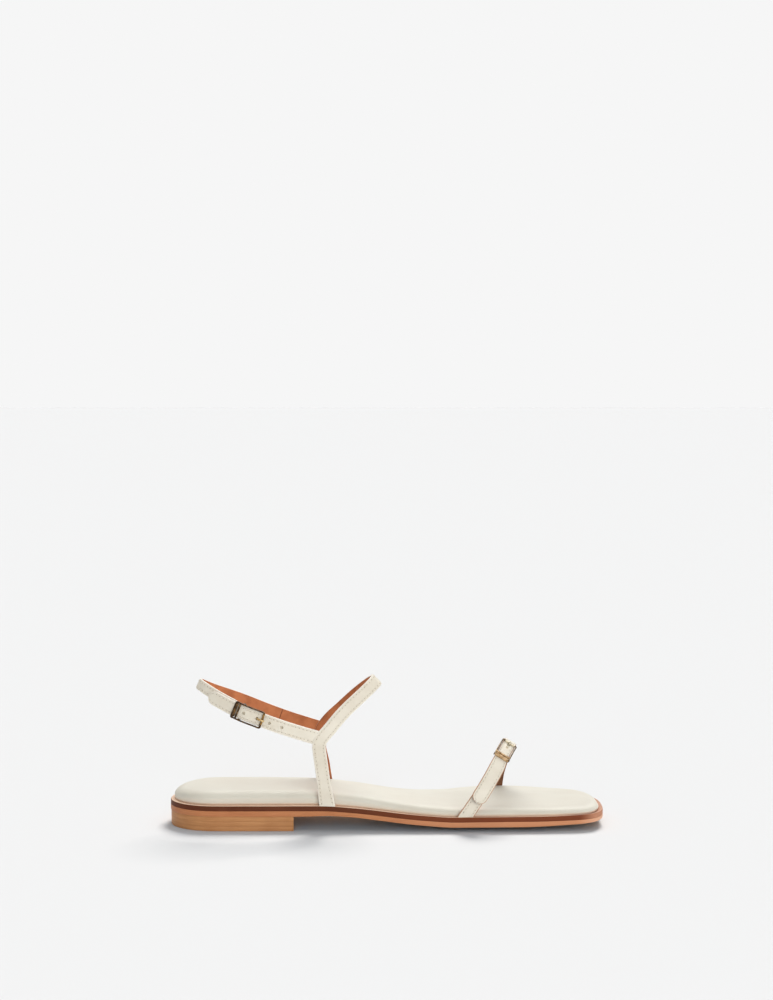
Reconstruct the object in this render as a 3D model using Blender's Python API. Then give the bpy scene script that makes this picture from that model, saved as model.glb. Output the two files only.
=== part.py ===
"""Flat sandal for the right foot.

The tables are in millimetres and the meshes in metres. +X runs to the toe, +Y to the inner side of the
foot and +Z up. The origin is on the floor, under the middle of the sole.
"""

import math
from collections import namedtuple

import bmesh
import bpy
import numpy as np

MM = 0.001
SEAT_GAP = 0.3
MERGE = 1e-6
SHARP_ANGLE = 35

# Sole: sizes
SOLE_LENGTH = 261.5
HEEL_BACK = -0.5 * SOLE_LENGTH
MIDSOLE_THICK = 3.0
PAD_SHOULDER = 4.2
BREAST_OUTER = -55.2
BREAST_INNER = -59.0
BREAST_HOLLOW = 2.5
BREAST_STEPS = 5
BREAST_CLEAR = 1.0
HEEL_INSET = 0.3
HEEL_HEIGHT = 8.7
CROWN_FLAT = 0.45

# Plan of the sole: share of its length, then how far its edge lies from the axis on each side
PlanRow = namedtuple("PlanRow", "share outer inner")
SOLE_PLAN = (
    PlanRow(0.115, 40.0, 19.8),
    PlanRow(0.20, 40.0, 19.4),
    PlanRow(0.30, 39.7, 17.6),
    PlanRow(0.40, 39.9, 15.4),
    PlanRow(0.48, 40.5, 15.0),
    PlanRow(0.55, 41.6, 18.6),
    PlanRow(0.62, 42.6, 28.0),
    PlanRow(0.68, 43.0, 37.2),
    PlanRow(0.74, 43.0, 42.4),
    PlanRow(0.80, 42.4, 43.0),
    PlanRow(0.86, 41.6, 40.0),
    PlanRow(0.92, 40.2, 34.0),
)

# Round ends of the plan: where the end starts, where its tip lies, and how square each corner is
EndRow = namedtuple("EndRow", "share tip_share tip_y outer_power inner_power steps")
HEEL_END = EndRow(0.115, 0.0, -10.1, 2.1, 2.1, 13)
TOE_END = EndRow(0.92, 1.0, -8.0, 3.1, 2.6, 17)
SIDE_STATIONS = 30
SLOPE_STEP = 0.01

# Side of the sole: underside at the middle line, rise at its edges, outsole and pad thickness, midsole ledge
SideRow = namedtuple("SideRow", "share under crown outsole pad ledge")
SOLE_SIDE = (
    SideRow(0.00, HEEL_HEIGHT, 0.0, 3.2, 6.2, 2.3),
    SideRow(0.09, HEEL_HEIGHT, 0.0, 3.2, 7.8, 2.6),
    SideRow(0.31, HEEL_HEIGHT, 0.0, 3.2, 8.1, 3.0),
    SideRow(0.36, 8.8, 0.3, 2.8, 7.8, 3.0),
    SideRow(0.42, 7.9, 0.5, 2.5, 7.4, 3.0),
    SideRow(0.475, 6.0, 0.8, 2.7, 6.9, 3.0),
    SideRow(0.53, 3.9, 1.2, 2.8, 6.4, 3.0),
    SideRow(0.59, 1.7, 2.0, 2.9, 6.2, 3.0),
    SideRow(0.66, 0.0, 2.8, 3.0, 6.0, 3.0),
    SideRow(0.81, 0.0, 3.0, 3.1, 5.6, 3.0),
    SideRow(0.90, 0.9, 3.0, 2.5, 5.1, 2.9),
    SideRow(1.00, 3.0, 2.2, 2.0, 4.9, 2.6),
)
FILL_SHARES = (0.72, CROWN_FLAT, 0.0)
SHOULDER_ANGLES = (0, 30, 60, 90)

# Straps: sizes
STRAP_THICK = 1.8
LINING_TUCK = 0.15
STEM_THICK = 2.2
STRAP_WIDTH = 8.0
HOLED_WIDTH = 8.4
HEEL_STRAP_WIDTH = 6.6
INNER_STRAP_WIDTH = 8.2
INNER_WIDENS = 22.0
BASE_FLARE = 1.2
FLARE_LENGTH = 14.0
HOLED_DROP = 1.6
CHAPE_DROP = 1.2
CHAPE_SLIDE = 6.0
TUCK = 0.4
STATION_STEP = 2.6

# Routes of the straps' inner faces; lean is how far the strap's width rises from forward, in degrees
RouteRow = namedtuple("RouteRow", "place x y z lean")
INSTEP_ROUTE = (
    RouteRow("outer ledge", -35.3, -37.3, 15.7, 8),
    RouteRow("outer stem", -37.9, -36.4, 33.0, 8),
    RouteRow("outer knee", -39.9, -35.0, 47.0, 8),
    RouteRow("outer fork", -40.1, -34.4, 51.2, -6),
    RouteRow("outer bend", -38.3, -33.6, 54.9, -28),
    RouteRow("outer turn", -34.6, -32.3, 59.3, -42),
    RouteRow("outer rise", -28.0, -30.0, 67.0, -44),
    RouteRow("outer crest", -15.5, -23.5, 78.5, -46),
    RouteRow("apex", -7.0, -13.0, 86.0, -46),
    RouteRow("inner crest", -16.0, -2.5, 78.6, -46),
    RouteRow("inner rise", -28.6, 4.0, 66.5, -44),
    RouteRow("inner bend", -37.8, 7.2, 56.6, -24),
    RouteRow("inner fork", -41.4, 8.4, 47.5, 4),
    RouteRow("inner stem", -39.3, 11.3, 33.0, 8),
    RouteRow("inner wall", -37.9, 14.1, 20.5, 8),
    RouteRow("inner ledge", -37.4, 14.4, 15.7, 8),
)
HEEL_ROUTE = (
    RouteRow("outer fork", -38.0, -33.2, 55.8, 70),
    RouteRow("outer quarter", -58.0, -34.9, 62.0, 70),
    RouteRow("outer side", -75.0, -34.4, 68.0, 69),
    RouteRow("outer heel", -91.0, -30.0, 74.3, 67),
    RouteRow("outer corner", -106.0, -22.0, 81.4, 66),
    RouteRow("rear", -112.3, -13.0, 84.2, 66),
    RouteRow("inner corner", -106.0, -4.0, 79.7, 66),
    RouteRow("inner heel", -91.0, 4.0, 72.9, 67),
    RouteRow("inner side", -75.0, 8.4, 65.9, 69),
    RouteRow("inner quarter", -58.0, 9.2, 59.6, 71),
    RouteRow("inner fork", -38.0, 8.4, 53.6, 71),
)
TOE_ROUTE = (
    RouteRow("outer ledge", 47.0, -40.3, 9.6, -18),
    RouteRow("outer wall", 52.5, -39.2, 17.5, -24),
    RouteRow("outer rise", 61.0, -34.6, 30.0, -28),
    RouteRow("outer crest", 69.0, -20.0, 41.0, -28),
    RouteRow("apex", 74.5, -1.0, 45.2, -32),
    RouteRow("inner crest", 75.0, 20.0, 40.5, -26),
    RouteRow("inner rise", 72.5, 35.0, 30.0, -14),
    RouteRow("inner wall", 69.5, 39.6, 18.0, -10),
    RouteRow("inner ledge", 68.0, 40.0, 9.6, -8),
)

# Buckles: sizes along, across and out from the strap
KEEPER_BACK = 4.0
KEEPER_LENGTH = 3.2
KEEPER_RISE = 1.45
BAR = 1.2
BAR_RISE = 1.1
BAR_STEP = 0.6
EMBED = 0.1
SIDE_BAR = 0.8
SIDE_GAP = 0.3
SIDE_DEPTH = 0.6
SIDE_SWEEP = 4.0
SIDE_STEP = 1.5
PIVOT_LOW = 0.6
PIVOT_HIGH = 1.7
PIVOT_HALF = 0.54
LUG_LOW = 0.5
DROP_START = 1.5
PRONG_WIDTH = 1.3
PRONG_THICK = 0.9
PRONG_PAST = 1.0
HOLE_BACK = 3.2
HOLE_LENGTH = 3.4
HOLE_WIDTH = 2.0
HOLE_DEPTHS = (-2.0, 8.0)
TIP_ROUND = 4.0
TIP_LEAST = 0.3
TIP_SHARES = (0.0, 0.12, 0.3, 0.6)

# Where each buckle's pivot lies along its route, which way its prong points, how far ahead its front bar
# lies, where the strap's tail ends, how far the strap is moved across the route, and its width
BuckleRow = namedtuple("BuckleRow", "pivot points reach tail_end shift width")
HEEL_BUCKLE = BuckleRow(50.2, -1, 13.2, 72.2, -HOLED_DROP, HOLED_WIDTH)
TOE_BUCKLE = BuckleRow(44.2, 1, 16.4, 9.8, 0.0, STRAP_WIDTH)

# Path of a prong: how far past its hole each bend lies, and how high between strap and bar, as a share
BendRow = namedtuple("BendRow", "past rise")
PRONG_BENDS = (
    BendRow(-1.5, 0.0),
    BendRow(-0.6, 0.1),
    BendRow(0.5, 0.9),
    BendRow(1.4, 1.0),
)

Finish = namedtuple("Finish", "name color roughness metallic")
CREAM = Finish("cream_leather", (0.80, 0.76, 0.66), 0.5, 0.0)
PAD_CREAM = Finish("insole_leather", (0.83, 0.80, 0.72), 0.5, 0.0)
OUTSOLE_TAN = Finish("outsole_leather", (0.50, 0.20, 0.09), 0.5, 0.0)
MIDSOLE_BROWN = Finish("midsole_leather", (0.13, 0.035, 0.015), 0.45, 0.0)
HEEL_TAN = Finish("stacked_leather", (0.43, 0.22, 0.10), 0.5, 0.0)
METAL = Finish("buckle_metal", (0.42, 0.30, 0.14), 0.3, 1.0)


def clear_scene():
    for thing in list(bpy.data.objects):
        bpy.data.objects.remove(thing)


def material_of(finish):
    found = bpy.data.materials.get(finish.name)
    if found:
        return found
    material = bpy.data.materials.new(finish.name)
    material.use_nodes = True
    shader = material.node_tree.nodes["Principled BSDF"]
    shader.inputs["Base Color"].default_value = (*finish.color, 1.0)
    shader.inputs["Roughness"].default_value = finish.roughness
    shader.inputs["Metallic"].default_value = finish.metallic
    return material


def solid(name, rings, finish, capped=True):
    """Closed mesh through rings of equal count, given in millimetres, with its two ends capped."""
    mesh = bpy.data.meshes.new(name)
    shape = bmesh.new()
    rows = [[shape.verts.new(np.asarray(point) * MM) for point in ring] for ring in rings]
    count = len(rows[0])
    for low, high in zip(rows, rows[1:]):
        for i in range(count):
            j = (i + 1) % count
            shape.faces.new((low[i], low[j], high[j], high[i]))
    if capped:
        shape.faces.new(list(reversed(rows[0])))
        shape.faces.new(rows[-1])
    bmesh.ops.remove_doubles(shape, verts=shape.verts, dist=MERGE)
    bmesh.ops.recalc_face_normals(shape, faces=shape.faces)
    shape.to_mesh(mesh)
    shape.free()
    mesh.shade_smooth()
    mesh.set_sharp_from_angle(angle=math.radians(SHARP_ANGLE))
    mesh.materials.append(material_of(finish))
    thing = bpy.data.objects.new(name, mesh)
    bpy.context.scene.collection.objects.link(thing)
    return thing


def combine(target, tools, operation):
    """Join tools to the target, or cut them from it, and keep them as wire guides."""
    for tool in tools:
        change = target.modifiers.new(tool.name, "BOOLEAN")
        change.operation = operation
        change.solver = "EXACT"
        change.object = tool
        tool.hide_render = True
        tool.display_type = "WIRE"
    return target


def table_curve(rows, column):
    """Smooth function of a table's share that doesn't overshoot its rows."""
    share = np.array([row.share for row in rows])
    value = np.array([getattr(row, column) for row in rows])
    rise = np.diff(value) / np.diff(share)
    slope = np.zeros(len(rows))
    slope[0], slope[-1] = rise[0], rise[-1]
    for i in range(1, len(rows) - 1):
        if rise[i - 1] * rise[i] > 0:
            slope[i] = 2 * rise[i - 1] * rise[i] / (rise[i - 1] + rise[i])

    def curve(at):
        i = np.clip(np.searchsorted(share, at) - 1, 0, len(rows) - 2)
        width = share[i + 1] - share[i]
        t = np.clip((at - share[i]) / width, 0.0, 1.0)
        start = (1 + 2 * t) * (1 - t) ** 2 * value[i] + t * (1 - t) ** 2 * width * slope[i]
        end = t * t * (3 - 2 * t) * value[i + 1] + t * t * (t - 1) * width * slope[i + 1]
        return start + end

    return curve


class Sole:
    """Plan, spine and heights of the sole, shared by all its layers."""

    def __init__(self):
        self.outer = table_curve(SOLE_PLAN, "outer")
        self.inner = table_curve(SOLE_PLAN, "inner")
        self.under = table_curve(SOLE_SIDE, "under")
        self.crown = table_curve(SOLE_SIDE, "crown")
        self.outsole = table_curve(SOLE_SIDE, "outsole")
        self.pad = table_curve(SOLE_SIDE, "pad")
        self.ledge = table_curve(SOLE_SIDE, "ledge")
        self.edge, self.spine = self.plan()
        along = np.roll(self.edge, -1, axis=0) - np.roll(self.edge, 1, axis=0)
        along /= np.linalg.norm(along, axis=1)[:, None]
        self.outward = np.stack([along[:, 1], -along[:, 0]], axis=1)

    def end_points(self, end, sign):
        """Points of a round end in order round the sole, without the two where the sides begin."""
        start = self.x_of(end.share)
        reach = abs(self.x_of(end.tip_share) - start)
        half = {-1: self.outer(end.share) + end.tip_y, 1: self.inner(end.share) - end.tip_y}
        power = {-1: end.outer_power, 1: end.inner_power}
        inward = {
            -1: self.narrowing(self.outer, end.share, sign),
            1: self.narrowing(self.inner, end.share, sign),
        }
        points = []
        for i in range(1, end.steps + 1):
            turn = -0.5 * math.pi + math.pi * i / (end.steps + 1)
            side = 1 if math.sin(turn) > 0 else -1
            c, s = abs(math.cos(turn)) / reach, abs(math.sin(turn)) / half[side]
            radius = (c ** power[side] + s ** power[side]) ** (-1.0 / power[side])
            forward = radius * math.cos(turn)
            taper = 1 - inward[side] * forward / half[side]
            points.append((start + sign * forward, end.tip_y + taper * radius * math.sin(turn)))
        return points if sign > 0 else points[::-1]

    def narrowing(self, curve, share, sign):
        """How fast a side draws in towards an end where that end starts, in millimetres a millimetre."""
        back = share - sign * SLOPE_STEP
        return (curve(back) - curve(share)) / (SLOPE_STEP * SOLE_LENGTH)

    def plan(self):
        """Edge points, outer side first, and the spine point that each one faces."""
        shares = np.linspace(HEEL_END.share, TOE_END.share, SIDE_STATIONS)
        outer = [(self.x_of(share), -self.outer(share)) for share in shares]
        inner = [(self.x_of(share), self.inner(share)) for share in shares]
        middle = [(x, 0.5 * (y + inner[i][1])) for i, (x, y) in enumerate(outer)]
        toe = self.end_points(TOE_END, 1)
        heel = self.end_points(HEEL_END, -1)
        edge = outer + toe + inner[::-1] + heel
        spine = middle + [middle[-1]] * len(toe) + middle[::-1] + [middle[0]] * len(heel)
        return np.array(edge), np.array(spine)

    def x_of(self, share):
        return HEEL_BACK + SOLE_LENGTH * share

    def share_of(self, x):
        return (x - HEEL_BACK) / SOLE_LENGTH

    def ring(self, inset, fill=1.0):
        """Plan ring that lies inset from the edge, drawn in towards the spine by fill."""
        ring = self.edge - np.reshape(inset, (-1, 1)) * self.outward
        return self.spine + (ring - self.spine) * fill

    def floor(self, ring):
        """Height of the outsole's underside at the points of a plan ring."""
        span = np.linalg.norm(self.edge - self.spine, axis=1)
        out = np.linalg.norm(ring - self.spine, axis=1) / span
        lift = np.clip((out - CROWN_FLAT) / (1 - CROWN_FLAT), 0.0, None) ** 2
        share = self.share_of(ring[:, 0])
        return self.under(share) + self.crown(share) * lift

    def at_height(self, ring, height):
        return np.column_stack([ring, self.floor(ring) + height(self.share_of(ring[:, 0]))])

    def midsole_top(self, share):
        return self.outsole(share) + SEAT_GAP + MIDSOLE_THICK

    def stand(self, x):
        """Height of the midsole's ledge at x."""
        share = self.share_of(x)
        return self.under(share) + self.crown(share) + self.midsole_top(share)


def layer(sole, name, inset, low, high, finish):
    """Slab of the sole between two heights above its underside."""
    rings = [sole.at_height(sole.ring(inset, fill), low) for fill in reversed(FILL_SHARES)]
    rings.append(sole.at_height(sole.ring(inset), low))
    rings.append(sole.at_height(sole.ring(inset), high))
    rings += [sole.at_height(sole.ring(inset, fill), high) for fill in FILL_SHARES]
    return solid(name, rings, finish, capped=False)


def make_outsole(sole):
    return layer(sole, "outsole", 0.0, lambda share: 0.0 * share, sole.outsole, OUTSOLE_TAN)


def make_midsole(sole):
    def low(share):
        return sole.outsole(share) + SEAT_GAP

    return layer(sole, "midsole", 0.0, low, sole.midsole_top, MIDSOLE_BROWN)


def make_insole(sole):
    """Padded insole with round shoulders, set in from the midsole's edge."""

    def low(share):
        return sole.midsole_top(share) + SEAT_GAP

    def high(share):
        return low(share) + sole.pad(share)

    ledge = sole.ledge(sole.share_of(sole.edge[:, 0]))
    rings = [sole.at_height(sole.ring(ledge, fill), low) for fill in reversed(FILL_SHARES)]
    rings.append(sole.at_height(sole.ring(ledge), low))
    for angle in SHOULDER_ANGLES:
        turn = math.radians(angle)
        ring = sole.ring(ledge + PAD_SHOULDER * (1 - math.cos(turn)))
        drop = PAD_SHOULDER * (1 - math.sin(turn))
        rings.append(sole.at_height(ring, lambda share: high(share) - drop))
    top = ledge + PAD_SHOULDER
    rings += [sole.at_height(sole.ring(top, fill), high) for fill in FILL_SHARES]
    return solid("insole", rings, PAD_CREAM, capped=False)


def breast_points(sole):
    """Shallow hollow line of the heel's front, from its outer to its inner corner."""
    outer_y = HEEL_INSET - sole.outer(sole.share_of(BREAST_OUTER))
    inner_y = sole.inner(sole.share_of(BREAST_INNER)) - HEEL_INSET
    points = []
    for t in np.linspace(0.0, 1.0, BREAST_STEPS):
        hollow = BREAST_HOLLOW * 4 * t * (1 - t)
        x = BREAST_OUTER + (BREAST_INNER - BREAST_OUTER) * t - hollow
        points.append((x, outer_y + (inner_y - outer_y) * t))
    return points


def make_heel(sole):
    """Low block under the back of the outsole, with a hollow breast."""
    ring = sole.ring(HEEL_INSET)
    back = min(BREAST_OUTER, BREAST_INNER) - BREAST_CLEAR
    first = next(i for i in range(len(ring)) if ring[i - 1, 0] > back > ring[i, 0])
    count = int(np.sum(ring[:, 0] < back))
    order = [(first + i) % len(ring) for i in range(count)]
    outline = np.vstack([ring[order], breast_points(sole)])
    levels = (0.0, HEEL_HEIGHT - SEAT_GAP)
    rings = [np.column_stack([outline, np.full(len(outline), level)]) for level in levels]
    return solid("heel", rings, HEEL_TAN)


class Band:
    """Route that a strap lies on, with places given along it, across it and out from it."""

    SAMPLES = 600

    def __init__(self, rows):
        points = np.array([(row.x, row.y, row.z, row.lean) for row in rows], float)
        chord = np.linalg.norm(np.diff(points[:, :3], axis=0), axis=1)
        knots = np.concatenate([[0.0], np.cumsum(chord)])
        fine = spline(knots, points, np.linspace(0.0, knots[-1], self.SAMPLES))
        self.points = fine[:, :3]
        lean = np.radians(fine[:, 3])
        along = np.gradient(self.points, axis=0)
        along /= np.linalg.norm(along, axis=1)[:, None]
        wide = np.column_stack([np.cos(lean), np.zeros(len(lean)), np.sin(lean)])
        self.out = np.cross(wide, along)
        self.out /= np.linalg.norm(self.out, axis=1)[:, None]
        self.wide = np.cross(along, self.out)
        steps = np.linalg.norm(np.diff(self.points, axis=0), axis=1)
        self.run = np.concatenate([[0.0], np.cumsum(steps)])
        self.length = self.run[-1]

    def at(self, along, across, out):
        def sample(values):
            return np.array([np.interp(along, self.run, values[:, k]) for k in range(3)])

        return sample(self.points) + across * sample(self.wide) + out * sample(self.out)

    def section(self, along, low_across, high_across, low_out, high_out):
        corners = (
            (low_across, low_out),
            (high_across, low_out),
            (high_across, high_out),
            (low_across, high_out),
        )
        return np.array([self.at(along, across, out) for across, out in corners])


def spline(knots, values, at):
    """Natural cubic curve through the values at the knots."""
    count = len(knots)
    gap = np.diff(knots)
    matrix = np.eye(count)
    right = np.zeros((count, values.shape[1]))
    for i in range(1, count - 1):
        matrix[i, i - 1 : i + 2] = gap[i - 1], 2 * (gap[i - 1] + gap[i]), gap[i]
        right[i] = 6 * ((values[i + 1] - values[i]) / gap[i] - (values[i] - values[i - 1]) / gap[i - 1])
    bend = np.linalg.solve(matrix, right)
    i = np.clip(np.searchsorted(knots, at) - 1, 0, count - 2)
    left = (at - knots[i])[:, None]
    remain = (knots[i + 1] - at)[:, None]
    h = gap[i][:, None]
    curve = (bend[i] * remain**3 + bend[i + 1] * left**3) / (6 * h)
    curve += (values[i] / h - bend[i] * h / 6) * remain
    return curve + (values[i + 1] / h - bend[i + 1] * h / 6) * left


def stations(start, end, step=STATION_STEP):
    return np.linspace(start, end, max(2, int(round(abs(end - start) / step)) + 1))


def smooth_step(value):
    t = min(max(value, 0.0), 1.0)
    return t * t * (3 - 2 * t)


def constant(value):
    return lambda along: value


def strap_rings(band, runs, width, inner, thick, shift=constant(0.0)):
    """Sections of a strap; width, inner and shift are functions of the place along the route."""
    rings = []
    for along in runs:
        half = 0.5 * width(along)
        middle = shift(along)
        low = inner(along)
        rings.append(band.section(along, middle - half, middle + half, low, low + thick))
    return rings


def stand_on_ledge(sole, end, neighbour):
    """Run the edges of a strap's end section on until they meet the midsole's ledge."""
    for point, above in zip(end, neighbour):
        level = sole.stand(point[0]) + SEAT_GAP
        point += (point - above) * (level - point[2]) / (point[2] - above[2])


def flared(ends):
    """Width of a strap that widens a little where it meets the sole."""

    def width(along):
        nearest = min(abs(along - end) for end in ends)
        return STRAP_WIDTH + BASE_FLARE * (1 - smooth_step(nearest / FLARE_LENGTH))

    return width


def rounded_tip(width, tip):
    """Width of a strap that closes in a round tip."""

    def narrowed(along):
        inside = min(abs(along - tip) / TIP_ROUND, 1.0)
        return width * max(math.sqrt(1 - (1 - inside) ** 2), TIP_LEAST)

    return narrowed


def tail_stations(tip, end):
    """Stations that start close together at a round tip."""
    sign = 1 if end > tip else -1
    near = [tip + sign * TIP_ROUND * share for share in TIP_SHARES]
    return np.concatenate([near, stations(tip + sign * TIP_ROUND, end)])


def layered(buckle):
    """Inner face of a holed strap: over the pivot and the strap below, then down past the prong's bar."""
    high = STRAP_THICK + SEAT_GAP

    def inner(along):
        forward = (along - buckle.pivot) * buckle.points
        drop = smooth_step((forward - DROP_START) / (buckle.reach - 2 * DROP_START))
        return TUCK + (high - TUCK) * (1 - drop)

    return inner


def make_ankle_upper(sole, instep, heel):
    """Instep band, heel strap and holed strap, joined at the two forks."""
    runs = stations(0.0, instep.length)
    width = flared((0.0, instep.length))
    rings = strap_rings(instep, runs, width, constant(0.0), STEM_THICK)
    stand_on_ledge(sole, rings[0], rings[1])
    stand_on_ledge(sole, rings[-1], rings[-2])
    upper = solid("ankle_upper", rings, CREAM)

    holed_runs = tail_stations(HEEL_BUCKLE.tail_end, 0.0)
    holed_width = rounded_tip(HOLED_WIDTH, HEEL_BUCKLE.tail_end)
    drop = constant(HEEL_BUCKLE.shift)
    holed_rings = strap_rings(heel, holed_runs, holed_width, layered(HEEL_BUCKLE), STRAP_THICK, drop)
    holed = solid("holed_strap_form", holed_rings, CREAM)
    combine(holed, [prong_hole(heel, HEEL_BUCKLE, "heel_hole_cutter")], "DIFFERENCE")

    rear = 0.5 * heel.length

    def heel_width(along):
        extra = INNER_STRAP_WIDTH - HEEL_STRAP_WIDTH
        return HEEL_STRAP_WIDTH + extra * smooth_step((along - rear) / INNER_WIDENS)

    def heel_shift(along):
        return -CHAPE_DROP * (1 - smooth_step((along - HEEL_BUCKLE.pivot - BAR) / CHAPE_SLIDE))

    heel_runs = stations(HEEL_BUCKLE.pivot + BAR, heel.length)
    inner, thick = constant(LINING_TUCK), STRAP_THICK - LINING_TUCK
    heel_rings = strap_rings(heel, heel_runs, heel_width, inner, thick, heel_shift)
    back = solid("heel_strap_form", heel_rings, CREAM)
    return combine(upper, [holed, back], "UNION")


def make_toe_strap(sole, band):
    """Strap from the inner edge over the toes, through the buckle, to its tail."""
    runs = tail_stations(TOE_BUCKLE.tail_end, band.length)
    tip = rounded_tip(STRAP_WIDTH, TOE_BUCKLE.tail_end)
    flare = flared((band.length,))
    inner = layered(TOE_BUCKLE)

    def width(along):
        return min(tip(along), flare(along)) if along < TOE_BUCKLE.pivot else flare(along)

    rings = strap_rings(band, runs, width, inner, STRAP_THICK)
    stand_on_ledge(sole, rings[-1], rings[-2])
    strap = solid("toe_strap", rings, CREAM)
    return combine(strap, [prong_hole(band, TOE_BUCKLE, "toe_hole_cutter")], "DIFFERENCE")


def make_toe_chape(sole, band):
    """Short strap that carries the toe buckle from the outer edge."""
    runs = stations(0.0, TOE_BUCKLE.pivot - BAR)
    rings = strap_rings(band, runs, flared((0.0,)), constant(0.0), STRAP_THICK)
    stand_on_ledge(sole, rings[0], rings[1])
    return solid("toe_chape", rings, CREAM)


def bar_rings(band, start, end, low_across, high_across, low_out, high_out, step=SIDE_STEP):
    """Sections of a straight bar laid in the strap's own directions; out limits may be functions."""
    rings = []
    for along in stations(start, end, step):
        low = low_out(along) if callable(low_out) else low_out
        high = high_out(along) if callable(high_out) else high_out
        rings.append(band.section(along, low_across, high_across, low, high))
    return rings


def hole_along(buckle):
    return buckle.pivot + buckle.points * (buckle.reach - HOLE_BACK)


def prong_hole(band, buckle, name):
    """Cutter for the hole that the prong passes through."""
    middle = hole_along(buckle)
    half = 0.5 * HOLE_WIDTH
    ends = (middle - 0.5 * HOLE_LENGTH, middle + 0.5 * HOLE_LENGTH)
    rings = bar_rings(band, *ends, buckle.shift - half, buckle.shift + half, *HOLE_DEPTHS)
    return solid(name, rings, CREAM)


def make_buckle(band, buckle, name):
    """Frame: two sides, the bar that the prong rests on, the hidden pivot and a keeper."""
    inner = layered(buckle)
    ahead = buckle.points
    half = 0.5 * buckle.width + SIDE_GAP
    front = buckle.pivot + ahead * buckle.reach
    back = buckle.pivot - ahead * KEEPER_BACK

    def roof(along):
        return inner(along) + STRAP_THICK + SEAT_GAP

    def belly(along):
        """Lower edge of a side: down at the pivot, up towards both ends."""
        away = abs(along - buckle.pivot) - BAR
        return LUG_LOW + (roof(along) - SIDE_DEPTH - LUG_LOW) * smooth_step(away / SIDE_SWEEP)

    def side(sign, label):
        edges = sorted((buckle.shift + sign * half, buckle.shift + sign * (half + SIDE_BAR)))
        ends = (front + ahead * 0.5 * BAR, back)
        rings = bar_rings(band, *ends, *edges, belly, lambda along: roof(along) + BAR)
        return solid(label, rings, METAL)

    def crossbar(ends, low, high, label):
        reach = half + 0.5 * SIDE_BAR
        rings = bar_rings(band, *ends, buckle.shift - reach, buckle.shift + reach, low, high, BAR_STEP)
        return solid(name + label, rings, METAL)

    def bar_top(along):
        return roof(along) + BAR_RISE

    def keeper_top(along):
        return roof(along) + KEEPER_RISE

    bar_ends = (front - ahead * 0.5 * BAR, front + ahead * (0.5 * BAR - EMBED))
    pivot_ends = (buckle.pivot - PIVOT_HALF, buckle.pivot + PIVOT_HALF)
    keeper_ends = (back + ahead * EMBED, back + ahead * KEEPER_LENGTH)
    frame = side(1, name)
    tools = [
        side(-1, name + "_side_form"),
        crossbar(bar_ends, roof, bar_top, "_bar_form"),
        crossbar(pivot_ends, PIVOT_LOW, PIVOT_HIGH, "_pivot_form"),
        crossbar(keeper_ends, roof, keeper_top, "_keeper_form"),
    ]
    return combine(frame, tools, "UNION")


def make_prong(band, buckle, name):
    """Prong from the pivot, up through its hole, to rest on the frame's bar."""
    inner = layered(buckle)
    hole = buckle.reach - HOLE_BACK
    front = buckle.pivot + buckle.points * buckle.reach
    rest = inner(front) + STRAP_THICK + SEAT_GAP + BAR_RISE + SEAT_GAP
    under = inner(hole_along(buckle)) - SEAT_GAP - PRONG_THICK
    path = [(PIVOT_HALF + SEAT_GAP, min(PIVOT_LOW, under))]
    path += [(hole + bend.past, under + (rest - under) * bend.rise) for bend in PRONG_BENDS]
    path.append((buckle.reach + PRONG_PAST, rest))
    half = 0.5 * PRONG_WIDTH
    edges = (buckle.shift - half, buckle.shift + half)
    rings = []
    for forward, low in path:
        along = buckle.pivot + buckle.points * forward
        rings.append(band.section(along, *edges, low, low + PRONG_THICK))
    return solid(name, rings, METAL)


def main():
    clear_scene()
    sole = Sole()
    make_outsole(sole)
    make_heel(sole)
    make_midsole(sole)
    make_insole(sole)
    instep, heel, toe = Band(INSTEP_ROUTE), Band(HEEL_ROUTE), Band(TOE_ROUTE)
    make_ankle_upper(sole, instep, heel)
    make_toe_strap(sole, toe)
    make_toe_chape(sole, toe)
    make_buckle(heel, HEEL_BUCKLE, "heel_buckle")
    make_prong(heel, HEEL_BUCKLE, "heel_prong")
    make_buckle(toe, TOE_BUCKLE, "toe_buckle")
    make_prong(toe, TOE_BUCKLE, "toe_prong")


main()
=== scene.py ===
"""Looks of a flat leather sandal for the right foot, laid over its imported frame.

Sizes are in millimetres until a mesh is made, and meshes are in metres. +X runs to the toe, +Y to the inner
side of the foot and +Z up from the floor.
"""

from __future__ import annotations

import logging
import math
from dataclasses import dataclass, field
from enum import Enum, IntEnum
from typing import Callable, Optional, Sequence, Union

import bpy
import numpy as np
from mathutils import Matrix, Vector

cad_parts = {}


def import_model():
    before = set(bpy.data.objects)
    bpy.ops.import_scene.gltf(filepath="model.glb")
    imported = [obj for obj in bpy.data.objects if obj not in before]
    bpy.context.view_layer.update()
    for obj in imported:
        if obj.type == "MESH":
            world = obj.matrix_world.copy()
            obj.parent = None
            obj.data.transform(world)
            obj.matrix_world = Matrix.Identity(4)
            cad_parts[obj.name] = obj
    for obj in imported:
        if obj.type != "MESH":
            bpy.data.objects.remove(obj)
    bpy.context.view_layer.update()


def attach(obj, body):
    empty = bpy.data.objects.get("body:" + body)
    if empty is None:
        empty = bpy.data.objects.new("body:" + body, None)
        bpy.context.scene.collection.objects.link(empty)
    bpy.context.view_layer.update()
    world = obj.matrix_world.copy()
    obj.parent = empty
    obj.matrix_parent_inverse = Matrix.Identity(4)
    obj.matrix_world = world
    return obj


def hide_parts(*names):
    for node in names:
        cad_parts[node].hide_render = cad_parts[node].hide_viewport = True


LOG = logging.getLogger("sandal")
MM = 0.001
UV_SPAN = 300.0
ROOT = "root"
WELD = 2e-6
TIP_LEAST = 0.16
TIP_STEPS = 12

Number = Union[float, "Value"]
Shift = Callable[[float], float]
Color = tuple[float, float, float, float]


# Tables of the sole's form and of the straps' routes


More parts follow.
